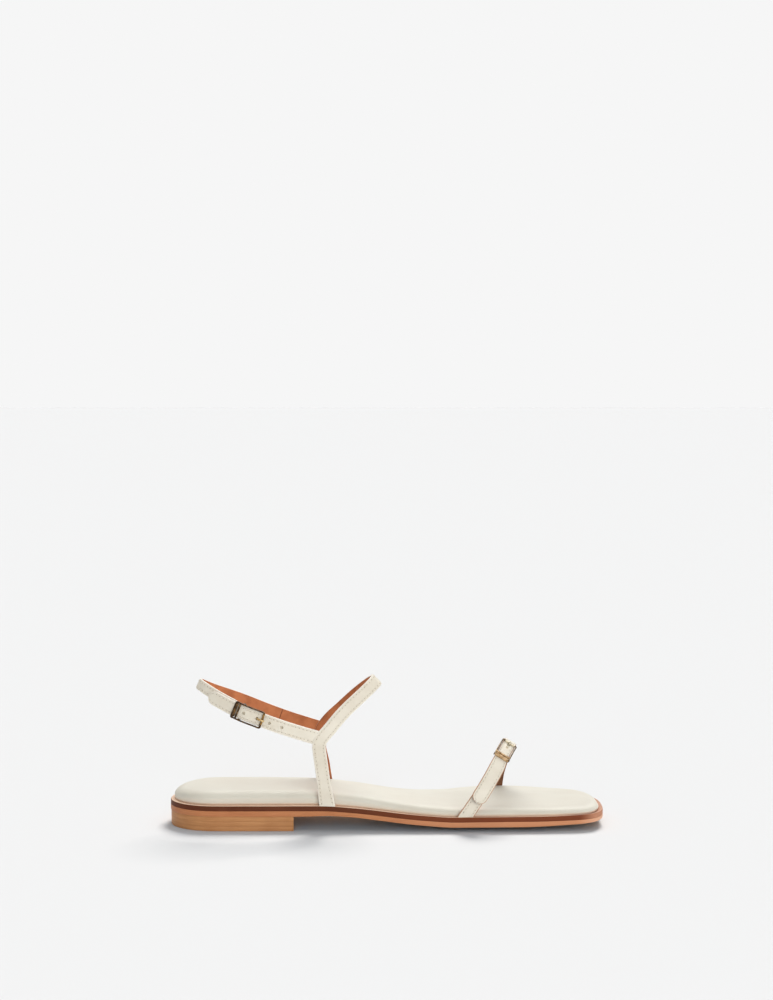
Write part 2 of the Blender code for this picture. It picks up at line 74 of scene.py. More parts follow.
@dataclass(frozen=True)
class PlanRow:
    """Half widths of the sole at a share of its length."""

    share: float
    outer: float
    inner: float


@dataclass(frozen=True)
class EndRow:
    """Round end of the plan: where it starts, where its tip lies and how square its corners are."""

    share: float
    tip_share: float
    tip_y: float
    outer_power: float
    inner_power: float
    steps: int


@dataclass(frozen=True)
class SideRow:
    """Heights of the sole's layers at a share of its length."""

    share: float
    under: float
    crown: float
    outsole: float
    pad: float
    ledge: float


@dataclass(frozen=True)
class RouteRow:
    """Point that a strap's inner face passes, with the rise of the strap's width from forward in degrees."""

    place: str
    x: float
    y: float
    z: float
    lean: float


SOLE_PLAN = (
    PlanRow(0.115, 40.0, 19.8),
    PlanRow(0.20, 40.0, 19.4),
    PlanRow(0.30, 39.7, 17.6),
    PlanRow(0.40, 39.9, 15.4),
    PlanRow(0.48, 40.5, 15.0),
    PlanRow(0.55, 41.6, 18.6),
    PlanRow(0.62, 42.6, 28.0),
    PlanRow(0.68, 43.0, 37.2),
    PlanRow(0.74, 43.0, 42.4),
    PlanRow(0.80, 42.4, 43.0),
    PlanRow(0.86, 41.6, 40.0),
    PlanRow(0.92, 40.2, 34.0),
)
HEEL_END = EndRow(0.115, 0.0, -10.1, 2.1, 2.1, 41)
TOE_END = EndRow(0.92, 1.0, -8.0, 3.1, 2.6, 55)
SOLE_SIDE = (
    SideRow(0.00, 8.7, 0.0, 3.2, 6.2, 2.3),
    SideRow(0.09, 8.7, 0.0, 3.2, 7.8, 2.6),
    SideRow(0.31, 8.7, 0.0, 3.2, 8.1, 3.0),
    SideRow(0.36, 8.8, 0.3, 2.8, 7.8, 3.0),
    SideRow(0.42, 7.9, 0.5, 2.5, 7.4, 3.0),
    SideRow(0.475, 6.0, 0.8, 2.7, 6.9, 3.0),
    SideRow(0.53, 3.9, 1.2, 2.8, 6.4, 3.0),
    SideRow(0.59, 1.7, 2.0, 2.9, 6.2, 3.0),
    SideRow(0.66, 0.0, 2.8, 3.0, 6.0, 3.0),
    SideRow(0.81, 0.0, 3.0, 3.1, 5.6, 3.0),
    SideRow(0.90, 0.9, 3.0, 2.5, 5.1, 2.9),
    SideRow(1.00, 3.0, 2.2, 2.0, 4.9, 2.6),
)
INSTEP_ROUTE = (
    RouteRow("outer ledge", -35.3, -37.3, 15.7, 8),
    RouteRow("outer stem", -37.9, -36.4, 33.0, 8),
    RouteRow("outer knee", -39.9, -35.0, 47.0, 8),
    RouteRow("outer fork", -40.1, -34.4, 51.2, -6),
    RouteRow("outer bend", -38.3, -33.6, 54.9, -28),
    RouteRow("outer turn", -34.6, -32.3, 59.3, -42),
    RouteRow("outer rise", -28.0, -30.0, 67.0, -44),
    RouteRow("outer crest", -15.5, -23.5, 78.5, -46),
    RouteRow("apex", -7.0, -13.0, 86.0, -46),
    RouteRow("inner crest", -16.0, -2.5, 78.6, -46),
    RouteRow("inner rise", -28.6, 4.0, 66.5, -44),
    RouteRow("inner bend", -37.8, 7.2, 56.6, -24),
    RouteRow("inner fork", -41.4, 8.4, 47.5, 4),
    RouteRow("inner stem", -39.3, 11.3, 33.0, 8),
    RouteRow("inner wall", -37.9, 14.1, 20.5, 8),
    RouteRow("inner ledge", -37.4, 14.4, 15.7, 8),
)
HEEL_ROUTE = (
    RouteRow("outer fork", -38.0, -33.2, 55.8, 70),
    RouteRow("outer quarter", -58.0, -34.9, 62.0, 70),
    RouteRow("outer side", -75.0, -34.4, 68.0, 69),
    RouteRow("outer heel", -91.0, -30.0, 74.3, 67),
    RouteRow("outer corner", -106.0, -22.0, 81.4, 66),
    RouteRow("rear", -112.3, -13.0, 84.2, 66),
    RouteRow("inner corner", -106.0, -4.0, 79.7, 66),
    RouteRow("inner heel", -91.0, 4.0, 72.9, 67),
    RouteRow("inner side", -75.0, 8.4, 65.9, 69),
    RouteRow("inner quarter", -58.0, 9.2, 59.6, 71),
    RouteRow("inner fork", -38.0, 8.4, 53.6, 71),
)
TOE_ROUTE = (
    RouteRow("outer ledge", 47.0, -40.3, 9.6, -18),
    RouteRow("outer wall", 52.5, -39.2, 17.5, -24),
    RouteRow("outer rise", 61.0, -34.6, 30.0, -28),
    RouteRow("outer crest", 69.0, -20.0, 41.0, -28),
    RouteRow("apex", 74.5, -1.0, 45.2, -32),
    RouteRow("inner crest", 75.0, 20.0, 40.5, -26),
    RouteRow("inner rise", 72.5, 35.0, 30.0, -14),
    RouteRow("inner wall", 69.5, 39.6, 18.0, -10),
    RouteRow("inner ledge", 68.0, 40.0, 9.6, -8),
)


# Plain maths


def smooth_step(value: float) -> float:
    """Ease from 0 to 1 as value goes from 0 to 1."""
    t = min(max(value, 0.0), 1.0)
    return t * t * (3 - 2 * t)


def constant(value: float) -> Shift:
    """Function that gives the same value everywhere along a strap."""
    return lambda along: value


def tint(red: int, green: int, blue: int) -> Color:
    """Shader colour of a screen colour.

    Args:
        red: Red from 0 to 255.
        green: Green from 0 to 255.
        blue: Blue from 0 to 255.

    Returns:
        Linear colour with full alpha.
    """

    def linear(part: int) -> float:
        """Light of one screen channel."""
        share = part / 255
        return share / 12.92 if share <= 0.04045 else ((share + 0.055) / 1.055) ** 2.4

    return (linear(red), linear(green), linear(blue), 1.0)


class Curve:
    """Smooth function of a table's share that doesn't overshoot its rows."""

    def __init__(self, rows: Sequence[Union[PlanRow, SideRow]], column: str) -> None:
        """Read one column of a table.

        Args:
            rows: Table rows that have a share.
            column: Name of the column.
        """
        self.share = np.array([row.share for row in rows])
        self.value = np.array([getattr(row, column) for row in rows])
        rise = np.diff(self.value) / np.diff(self.share)
        self.slope = np.zeros(len(rows))
        self.slope[0], self.slope[-1] = rise[0], rise[-1]
        for i in range(1, len(rows) - 1):
            if rise[i - 1] * rise[i] > 0:
                self.slope[i] = 2 * rise[i - 1] * rise[i] / (rise[i - 1] + rise[i])

    def __call__(self, at: np.ndarray) -> np.ndarray:
        """Value of the column.

        Args:
            at: Shares of the length.

        Returns:
            One value for each share.
        """
        i = np.clip(np.searchsorted(self.share, at) - 1, 0, len(self.share) - 2)
        width = self.share[i + 1] - self.share[i]
        t = np.clip((at - self.share[i]) / width, 0.0, 1.0)
        start = (1 + 2 * t) * (1 - t) ** 2 * self.value[i] + t * (1 - t) ** 2 * width * self.slope[i]
        end = t * t * (3 - 2 * t) * self.value[i + 1] + t * t * (t - 1) * width * self.slope[i + 1]
        return start + end


def spline(knots: np.ndarray, values: np.ndarray, at: np.ndarray) -> np.ndarray:
    """Natural cubic curve through values.

    Args:
        knots: Where each row of values lies.
        values: One row for each knot.
        at: Where the curve is read.

    Returns:
        One row for each place in at.
    """
    count = len(knots)
    gap = np.diff(knots)
    matrix = np.eye(count)
    right = np.zeros((count, values.shape[1]))
    for i in range(1, count - 1):
        matrix[i, i - 1 : i + 2] = gap[i - 1], 2 * (gap[i - 1] + gap[i]), gap[i]
        right[i] = 6 * ((values[i + 1] - values[i]) / gap[i] - (values[i] - values[i - 1]) / gap[i - 1])
    bend = np.linalg.solve(matrix, right)
    i = np.clip(np.searchsorted(knots, at) - 1, 0, count - 2)
    left = (at - knots[i])[:, None]
    remain = (knots[i + 1] - at)[:, None]
    h = gap[i][:, None]
    curve = (bend[i] * remain**3 + bend[i + 1] * left**3) / (6 * h)
    curve += (values[i] / h - bend[i] * h / 6) * remain
    return curve + (values[i + 1] / h - bend[i + 1] * h / 6) * left


# Shader maths


class Value:
    """Number or colour inside a material, which adds nodes when it is worked on."""

    def __init__(self, graph: Graph, socket: bpy.types.NodeSocket) -> None:
        """Wrap an output socket of a graph."""
        self.graph = graph
        self.socket = socket

    def math(self, operation: str, first: Number, second: Number = 0.0) -> Value:
        """Add a Math node.

        Args:
            operation: Name of the Math operation.
            first: First number.
            second: Second number, where the operation has one.

        Returns:
            The node's result.
        """
        return self.graph.node("ShaderNodeMath", {"operation": operation}, {0: first, 1: second})

    def __add__(self, other: Number) -> Value:
        """Sum."""
        return self.math("ADD", self, other)

    def __radd__(self, other: Number) -> Value:
        """Sum, from the right."""
        return self.math("ADD", other, self)

    def __sub__(self, other: Number) -> Value:
        """Difference."""
        return self.math("SUBTRACT", self, other)

    def __rsub__(self, other: Number) -> Value:
        """Difference, from the right."""
        return self.math("SUBTRACT", other, self)

    def __mul__(self, other: Number) -> Value:
        """Product."""
        return self.math("MULTIPLY", self, other)

    def __rmul__(self, other: Number) -> Value:
        """Product, from the right."""
        return self.math("MULTIPLY", other, self)

    def __truediv__(self, other: Number) -> Value:
        """Quotient."""
        return self.math("DIVIDE", self, other)

    def __abs__(self) -> Value:
        """Distance from zero."""
        return self.math("ABSOLUTE", self)

    def wrapped(self) -> Value:
        """Part after the decimal point."""
        return self.math("FRACT", self)

    def rooted(self) -> Value:
        """Square root."""
        return self.math("SQRT", self)

    def eased(self, low: float, high: float) -> Value:
        """Ease from 0 to 1.

        Args:
            low: Value where the result is 0.
            high: Value where the result is 1.

        Returns:
            The eased share.
        """
        settings = {"interpolation_type": "SMOOTHSTEP"}
        inputs = {"Value": self, "From Min": low, "From Max": high}
        return self.graph.node("ShaderNodeMapRange", settings, inputs)


class Graph:
    """Node tree of one material, or of the air round the object."""

    def __init__(
        self,
        owner: Union[bpy.types.Material, bpy.types.World],
        shader: str = "Principled BSDF",
    ) -> None:
        """Start from the plain shader of a material or a world.

        Args:
            owner: What the nodes belong to.
            shader: Name of its shader node.
        """
        self.owner = owner
        self.owner.use_nodes = True
        self.nodes = owner.node_tree.nodes
        self.links = owner.node_tree.links
        self.shader = self.nodes[shader]

    @classmethod
    def named(cls, name: str) -> Graph:
        """Graph of a new material."""
        return cls(bpy.data.materials.new(name))

    def node(
        self,
        kind: str,
        settings: Optional[dict[str, object]] = None,
        inputs: Optional[dict[Union[int, str], object]] = None,
        output: Union[int, str] = 0,
    ) -> Value:
        """Add a node.

        Args:
            kind: Type name of the node.
            settings: Values set on the node itself.
            inputs: Value or link of each socket.
            output: Which socket the result is read from.

        Returns:
            The chosen output.
        """
        made = self.nodes.new(kind)
        for key, value in (settings or {}).items():
            setattr(made, key, value)
        for key, value in (inputs or {}).items():
            self.feed(made.inputs[key], value)
        return Value(self, made.outputs[output])

    def feed(self, socket: bpy.types.NodeSocket, value: object) -> None:
        """Link a value to a socket, or set it there.

        Args:
            socket: Input of a node.
            value: Value of the graph, or a constant.
        """
        if isinstance(value, Value):
            self.links.new(value.socket, socket)
        else:
            socket.default_value = value

    def place(self, stretch: Sequence[float] = (1.0, 1.0, 1.0)) -> Value:
        """Object coordinates in millimetres.

        Args:
            stretch: Factor along each axis.

        Returns:
            The coordinates.
        """
        where = self.node("ShaderNodeTexCoord", output="Object")
        scale = tuple(part / MM for part in stretch)
        return self.node("ShaderNodeMapping", {"vector_type": "POINT"}, {"Vector": where, "Scale": scale})

    def strap_place(self) -> tuple[Value, Value]:
        """Places on a piece in millimetres, from its own map.

        Returns:
            On a strap, the places along it and in from its nearer edge. On the pad, the second is its rise.
        """
        uv = self.node("ShaderNodeUVMap", {"uv_map": "UVMap"})
        along = self.node("ShaderNodeSeparateXYZ", None, {0: uv}, "X")
        inward = self.node("ShaderNodeSeparateXYZ", None, {0: uv}, "Y")
        return along * UV_SPAN, inward * UV_SPAN

    def noise(self, place: Value, scale: float, detail: float = 3.0, rough: float = 0.55) -> Value:
        """Cloudy pattern with features of about one over scale millimetres."""
        inputs = {"Vector": place, "Scale": scale, "Detail": detail, "Roughness": rough}
        return self.node("ShaderNodeTexNoise", None, inputs, "Fac")

    def cells(self, place: Value, scale: float) -> Value:
        """Pebbled pattern with cells of about one over scale millimetres."""
        inputs = {"Vector": place, "Scale": scale}
        return self.node("ShaderNodeTexVoronoi", {"feature": "F1"}, inputs, "Distance")

    def mix(self, share: Number, first: object, second: object) -> Value:
        """Mix two colours.

        Args:
            share: How far the result goes from first to second.
            first: Colour at 0.
            second: Colour at 1.

        Returns:
            The mixed colour.
        """
        made = self.nodes.new("ShaderNodeMix")
        made.data_type = "RGBA"
        colors = [socket for socket in made.inputs if socket.type == "RGBA"]
        self.feed(made.inputs[0], share)
        self.feed(colors[0], first)
        self.feed(colors[1], second)
        return Value(self, next(socket for socket in made.outputs if socket.type == "RGBA"))

    def bump(self, height: Value, depth: float) -> Value:
        """Normal of a surface whose relief is depth millimetres."""
        inputs = {"Height": height, "Distance": depth * MM, "Strength": 1.0}
        return self.node("ShaderNodeBump", None, inputs, "Normal")

    def dress(self, **sockets: object) -> bpy.types.Material:
        """Feed the shader's sockets, named with underscores for spaces.

        Args:
            sockets: Value or link of each socket.

        Returns:
            The finished material.
        """
        for key, value in sockets.items():
            self.feed(self.shader.inputs[key.replace("_", " ")], value)
        return self.owner


# Finishes


@dataclass(frozen=True)
class CreamFace:
    """Smooth cream leather of the straps, with a lighter cut edge, and painted shade in its stitch grooves
    and needle holes.
    """

    row: float
    pitch: float
    name: str = "strap_face"
    light: Color = tint(232, 225, 209)
    dark: Color = tint(222, 213, 195)
    edge: Color = tint(245, 241, 231)
    # Dark of the grain's pores and of the painted shade in the needle holes.
    hole: Color = tint(136, 112, 88)
    roughness: float = 0.4
    relief: float = 0.14
    gloss: float = 0.42

    def material(self) -> bpy.types.Material:
        """Build the material.

        Returns:
            The material.
        """
        graph = Graph.named(self.name)
        place = graph.place()
        along, inward = graph.strap_place()
        cloud = graph.noise(place, 0.07, 4.0)
        pores = graph.cells(place, 1.7)
        grain = graph.noise(place, 2.6, 2.0)
        color = graph.mix(cloud.eased(0.3, 0.75), self.light, self.dark)
        color = graph.mix((1 - pores.eased(0.02, 0.22)) * 0.1, color, self.hole)
        from_row = abs(inward - self.row)
        channel = 1 - from_row.eased(0.1, 0.55)
        turn = ((along / self.pitch).wrapped() - 0.5) * self.pitch
        reach = (turn * turn + from_row * from_row).rooted()
        needle = 1 - reach.eased(0.14, 0.34)
        # Painted shade darkening the stitch groove.
        color = graph.mix(channel * 0.22, color, self.dark)
        color = graph.mix((1 - inward.eased(0.1, 0.55)) * 0.75, color, self.edge)
        # Painted shade: each needle hole is a dark dot.
        color = graph.mix(needle * 0.66, color, self.hole)
        height = grain * 0.25 + pores.eased(0.0, 0.35) * 0.35 - channel * 0.6 - needle * 0.6
        return graph.dress(
            Base_Color=color,
            Roughness=self.roughness + 0.14 * grain,
            Normal=graph.bump(height, self.relief),
            Specular_IOR_Level=self.gloss,
        )


@dataclass(frozen=True)
class CreamEdge:
    """Cut and painted edge of a strap."""

    name: str = "strap_edge"
    light: Color = tint(245, 240, 229)
    dark: Color = tint(226, 216, 197)
    roughness: float = 0.6
    relief: float = 0.08

    def material(self) -> bpy.types.Material:
        """Build the material.

        Returns:
            The material.
        """
        graph = Graph.named(self.name)
        place = graph.place()
        fibre = graph.noise(place, 1.9, 4.0)
        color = graph.mix(fibre.eased(0.35, 0.75), self.light, self.dark)
        relief = graph.bump(fibre, self.relief)
        return graph.dress(Base_Color=color, Roughness=self.roughness, Normal=relief)


@dataclass(frozen=True)
class TanLining:
    """Tan lining leather with a soft nap, and a seam where two lengths of it meet."""

    name: str = "strap_lining"
    light: Color = tint(192, 118, 76)
    dark: Color = tint(158, 92, 56)
    seam: Color = tint(100, 54, 34)
    seam_along: float = -100.0
    roughness: float = 0.62
    relief: float = 0.12
    gloss: float = 0.2

    def material(self) -> bpy.types.Material:
        """Build the material.

        Returns:
            The material.
        """
        graph = Graph.named(self.name)
        place = graph.place()
        along, _ = graph.strap_place()
        cloud = graph.noise(place, 0.12, 4.0)
        nap = graph.noise(place, 4.2, 3.0)
        color = graph.mix(cloud.eased(0.3, 0.75), self.light, self.dark)
        color = graph.mix(nap.eased(0.45, 0.8) * 0.3, color, self.dark)
        seam = 1 - abs(along - self.seam_along).eased(0.12, 0.4)
        color = graph.mix(seam * 0.75, color, self.seam)
        height = nap * 0.5 - seam
        return graph.dress(
            Base_Color=color,
            Roughness=self.roughness,
            Normal=graph.bump(height, self.relief),
            Specular_IOR_Level=self.gloss,
        )


@dataclass(frozen=True)
class HoleShade:
    """Painted shade on the walls and floor of a blind punched hole, varied with a fibre pattern."""

    name: str = "hole_painted_shade"
    light: Color = tint(62, 48, 38)
    dark: Color = tint(42, 32, 25)
    roughness: float = 0.85
    gloss: float = 0.1

    def material(self) -> bpy.types.Material:
        """Build the material.

        Returns:
            The material.
        """
        graph = Graph.named(self.name)
        fibre = graph.noise(graph.place(), 2.6, 3.0)
        color = graph.mix(fibre.eased(0.35, 0.7), self.light, self.dark)
        return graph.dress(Base_Color=color, Roughness=self.roughness, Specular_IOR_Level=self.gloss)


@dataclass(frozen=True)
class PadLeather:
    """Soft cream leather drawn over the insole's padding."""

    name: str = "insole_cover"
    light: Color = tint(217, 213, 199)
    dark: Color = tint(211, 205, 190)
    pore: Color = tint(200, 190, 170)
    # Warm tint near the pad's foot: painted warm light bounced from the sole.
    foot: Color = tint(222, 184, 158)
    roughness: float = 0.46
    relief: float = 0.1
    gloss: float = 0.4

    def material(self) -> bpy.types.Material:
        """Build the material.

        Returns:
            The material.
        """
        graph = Graph.named(self.name)
        place = graph.place()
        cloud = graph.noise(place, 0.028, 4.0)
        grain = graph.cells(place, 1.25)
        fine = graph.noise(place, 2.2, 3.0)
        crease = graph.noise(graph.place((0.5, 1.0, 1.0)), 0.16, 5.0, 0.6)
        color = graph.mix(cloud.eased(0.3, 0.75), self.light, self.dark)
        color = graph.mix((1 - grain.eased(0.02, 0.28)) * 0.15, color, self.pore)
        # Painted warm bounce light over the lowest two millimetres of the pad's rise.
        _, rise = graph.strap_place()
        color = graph.mix((1 - rise.eased(0.2, 1.9)) * 0.65, color, self.foot)
        height = grain.eased(0.0, 0.45) * 0.4 + fine * 0.25 + crease * 0.6
        return graph.dress(
            Base_Color=color,
            Roughness=self.roughness + 0.12 * fine,
            Normal=graph.bump(height, self.relief),
            Specular_IOR_Level=self.gloss,
        )


@dataclass(frozen=True)
class ToneStage:
    """Tone that a layer takes on between two places along the sandal."""

    color: Color
    start: float
    end: float


@dataclass(frozen=True)
class LayerEdge:
    """Burnished edge of a leather layer, streaked along the layer."""

    name: str
    light: Color
    dark: Color
    roughness: float = 0.42
    relief: float = 0.08
    gloss: float = 0.2
    stages: tuple[ToneStage, ...] = ()

    def material(self) -> bpy.types.Material:
        """Build the material.

        Returns:
            The material.
        """
        graph = Graph.named(self.name)
        streak = graph.noise(graph.place((0.05, 0.05, 1.4)), 1.0, 4.0, 0.6)
        cloud = graph.noise(graph.place(), 0.05, 4.0)
        fibre = graph.noise(graph.place((0.4, 0.4, 1.2)), 1.6, 3.0)
        shade = streak.eased(0.3, 0.7) * 0.55 + cloud.eased(0.35, 0.7) * 0.45
        color = graph.mix(shade, self.light, self.dark)
        forward = graph.node("ShaderNodeSeparateXYZ", None, {0: graph.place()}, "X")
        for stage in self.stages:
            reached = forward.eased(stage.start, stage.end) * (1 - 0.3 * streak)
            color = graph.mix(reached, color, stage.color)
        return graph.dress(
            Base_Color=color,
            Roughness=self.roughness + 0.16 * fibre,
            Normal=graph.bump(streak * 0.5 + fibre * 0.5, self.relief),
            Specular_IOR_Level=self.gloss,
        )


@dataclass(frozen=True)
class TreadLeather:
    """Underside of the outsole: plain sole leather, rubbed where it meets the floor."""

    name: str = "outsole_underside"
    light: Color = tint(208, 164, 124)
    dark: Color = tint(178, 130, 92)
    scuff: Color = tint(142, 98, 70)
    roughness: float = 0.5
    relief: float = 0.08

    def material(self) -> bpy.types.Material:
        """Build the material.

        Returns:
            The material.
        """
        graph = Graph.named(self.name)
        place = graph.place()
        cloud = graph.noise(place, 0.03, 5.0)
        fibre = graph.noise(place, 1.1, 4.0)
        rub = graph.noise(graph.place((0.2, 1.6, 1.0)), 0.12, 5.0, 0.65)
        color = graph.mix(cloud.eased(0.3, 0.7), self.light, self.dark)
        color = graph.mix(rub.eased(0.56, 0.74) * 0.35, color, self.scuff)
        color = graph.mix(fibre.eased(0.5, 0.8) * 0.2, color, self.dark)
        relief = graph.bump(fibre + rub, self.relief)
        return graph.dress(Base_Color=color, Roughness=self.roughness + 0.15 * fibre, Normal=relief)


@dataclass(frozen=True)
class StackedLifts:
    """Stacked leather of the heel, with a line between its lifts."""

    name: str = "heel_lifts"
    light: Color = tint(200, 144, 94)
    dark: Color = tint(176, 120, 74)
    line: Color = tint(128, 80, 46)
    lifts: tuple[float, ...] = (2.9, 5.8, 8.45)
    roughness: float = 0.44
    relief: float = 0.07
    gloss: float = 0.25

    def material(self) -> bpy.types.Material:
        """Build the material.

        Returns:
            The material.
        """
        graph = Graph.named(self.name)
        place = graph.place()
        height = graph.node("ShaderNodeSeparateXYZ", None, {0: place}, "Z")
        streak = graph.noise(graph.place((0.06, 0.06, 1.8)), 1.0, 5.0, 0.65)
        cloud = graph.noise(place, 0.06, 4.0)
        fibre = graph.noise(graph.place((0.5, 0.5, 1.5)), 1.5, 3.0)
        shade = streak.eased(0.3, 0.7) * 0.6 + cloud.eased(0.35, 0.7) * 0.4
        color = graph.mix(shade, self.light, self.dark)
        lines: Number = 0.0
        for lift in self.lifts:
            lines = lines + (1 - abs(height - lift).eased(0.06, 0.2))
        color = graph.mix(lines * 0.2, color, self.line)
        return graph.dress(
            Base_Color=color,
            Roughness=self.roughness + 0.14 * fibre,
            Normal=graph.bump(streak * 0.5 + fibre * 0.4 - lines * 0.4, self.relief),
            Specular_IOR_Level=self.gloss,
        )


@dataclass(frozen=True)
class CreamThread:
    """Waxed cream sewing thread."""

    name: str = "strap_thread"
    light: Color = tint(238, 232, 218)
    dark: Color = tint(208, 196, 172)
    roughness: float = 0.6
    relief: float = 0.05

    def material(self) -> bpy.types.Material:
        """Build the material.

        Returns:
            The material.
        """
        graph = Graph.named(self.name)
        twist = graph.noise(graph.place(), 3.0, 2.0)
        color = graph.mix(twist.eased(0.35, 0.75), self.light, self.dark)
        relief = graph.bump(twist, self.relief)
        return graph.dress(Base_Color=color, Roughness=self.roughness, Normal=relief)


@dataclass(frozen=True)
class AgedGold:
    """Antique gold of the buckles, darker where polish doesn't reach."""

    name: str
    bright: Color
    dark: Color
    worn: tuple[float, float]
    metallic: float = 1.0
    roughness: float = 0.24
    relief: float = 0.02

    def material(self) -> bpy.types.Material:
        """Build the material.

        Returns:
            The material.
        """
        graph = Graph.named(self.name)
        place = graph.place()
        age = graph.noise(place, 0.45, 4.0)
        fine = graph.noise(place, 3.0, 2.0)
        color = graph.mix(age.eased(*self.worn), self.bright, self.dark)
        return graph.dress(
            Base_Color=color,
            Metallic=self.metallic,
            Roughness=self.roughness + 0.16 * fine,
            Normal=graph.bump(fine, self.relief),
        )


@dataclass(frozen=True)
class PaleFloor:
    """Plain pale studio floor."""

    name: str = "studio_floor"
    color: Color = tint(222, 222, 222)
    roughness: float = 0.9

    def material(self) -> bpy.types.Material:
        """Build the material."""
        graph = Graph.named(self.name)
        return graph.dress(Base_Color=self.color, Roughness=self.roughness, Specular_IOR_Level=0.0)


# Meshes


class Face(IntEnum):
    """Which finish of a sole layer a face takes."""

    UNDER = 0
    SIDE = 1
    TOP = 2


class Cast(IntEnum):
    """Which metal of a buckle's frame a face takes."""

    SIDE = 0
    BAR = 1
    KEEPER = 2


class Skin(IntEnum):
    """Which finish of a strap a face takes."""

    FACE = 0
    LINING = 1
    EDGE = 2


def deselect() -> None:
    """Leave nothing selected."""
    for thing in list(bpy.context.selected_objects):
        thing.select_set(False)


def finish_mesh(piece: bpy.types.Object, angle: float, capped: bool) -> None:
    """Close a shaped grid and turn its faces outwards.

    Args:
        piece: Object to close.
        angle: Edges sharper than this stay sharp, in degrees.
        capped: Whether the open ends get a face.
    """
    deselect()
    piece.select_set(True)
    bpy.context.view_layer.objects.active = piece
    bpy.ops.object.mode_set(mode="EDIT")
    bpy.ops.mesh.select_all(action="SELECT")
    bpy.ops.mesh.remove_doubles(threshold=WELD)
    if capped:
        bpy.ops.mesh.select_all(action="SELECT")
        bpy.ops.mesh.fill_holes(sides=0)
    bpy.ops.mesh.select_all(action="SELECT")
    bpy.ops.mesh.normals_make_consistent(inside=False)
    bpy.ops.object.mode_set(mode="OBJECT")
    bpy.ops.object.shade_smooth_by_angle(angle=math.radians(angle))
    piece.select_set(False)


def loft(
    name: str,
    rings: np.ndarray,
    finishes: Sequence[bpy.types.Material],
    uv: Optional[np.ndarray] = None,
    paint: Optional[np.ndarray] = None,
    capped: bool = False,
    angle: float = 40.0,
) -> bpy.types.Object:
    """Shape a grid into a skin that runs through closed rings of points.

    Args:
        name: Name of the piece.
        rings: Points in millimetres, as rows of rings.
        finishes: Materials of the piece.
        uv: Place of each point on the finish, in millimetres.
        paint: Finish of each face, as rows of rings.
        capped: Whether the first and last ring get a face.
        angle: Edges sharper than this stay sharp, in degrees.

    Returns:
        The finished piece.
    """
    rings = np.asarray(rings, float)
    rings = np.concatenate([rings, rings[:, :1]], axis=1)
    if uv is not None:
        uv = np.concatenate([uv, uv[:, :1]], axis=1)
    rows, columns = rings.shape[:2]
    deselect()
    bpy.ops.mesh.primitive_grid_add(x_subdivisions=columns - 1, y_subdivisions=rows - 1, size=1.0)
    piece = bpy.context.active_object
    piece.name = name
    mesh = piece.data
    mesh.name = name
    flat = np.empty(len(mesh.vertices) * 3)
    mesh.vertices.foreach_get("co", flat)
    flat = flat.reshape(-1, 3)
    column = np.rint((flat[:, 0] + 0.5) * (columns - 1)).astype(int)
    row = np.rint((flat[:, 1] + 0.5) * (rows - 1)).astype(int)
    centre = np.array([polygon.center[:2] for polygon in mesh.polygons])
    face_column = np.floor((centre[:, 0] + 0.5) * (columns - 1)).astype(int)
    face_row = np.floor((centre[:, 1] + 0.5) * (rows - 1)).astype(int)
    mesh.vertices.foreach_set("co", (rings[row, column] * MM).ravel())
    for finish in finishes:
        mesh.materials.append(finish)
    if paint is not None:
        painted = np.asarray(paint)[face_row, face_column]
        mesh.polygons.foreach_set("material_index", painted.astype(np.int32))
    if uv is not None:
        corner = np.empty(len(mesh.loops), dtype=np.int32)
        mesh.loops.foreach_get("vertex_index", corner)
        places = uv[row[corner], column[corner]] / UV_SPAN
        mesh.uv_layers[0].name = "UVMap"
        mesh.uv_layers[0].data.foreach_set("uv", places.astype(np.float32).ravel())
    mesh.update()
    finish_mesh(piece, angle, capped)
    return piece


def joined(name: str, pieces: Sequence[bpy.types.Object]) -> bpy.types.Object:
    """Join pieces into one object.

    Args:
        name: Name of the whole.
        pieces: Pieces to join.

    Returns:
        The whole.
    """
    deselect()
    for piece in pieces:
        piece.select_set(True)
    bpy.context.view_layer.objects.active = pieces[0]
    bpy.ops.object.join()
    whole = bpy.context.active_object
    whole.name = name
    whole.data.name = name
    whole.select_set(False)
    return whole


def seat(piece: bpy.types.Object, slot: str, *nodes: str) -> bpy.types.Object:
    """Fix a piece to the sandal and hide the solids that it replaces.

    Args:
        piece: Finished piece.
        slot: Not used.
        nodes: Solids that the piece replaces.

    Returns:
        The same piece.
    """
    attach(piece, ROOT)
    if nodes:
        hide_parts(*nodes)
    LOG.info("%s: %d faces", piece.name, len(piece.data.polygons))
    return piece


# Sole


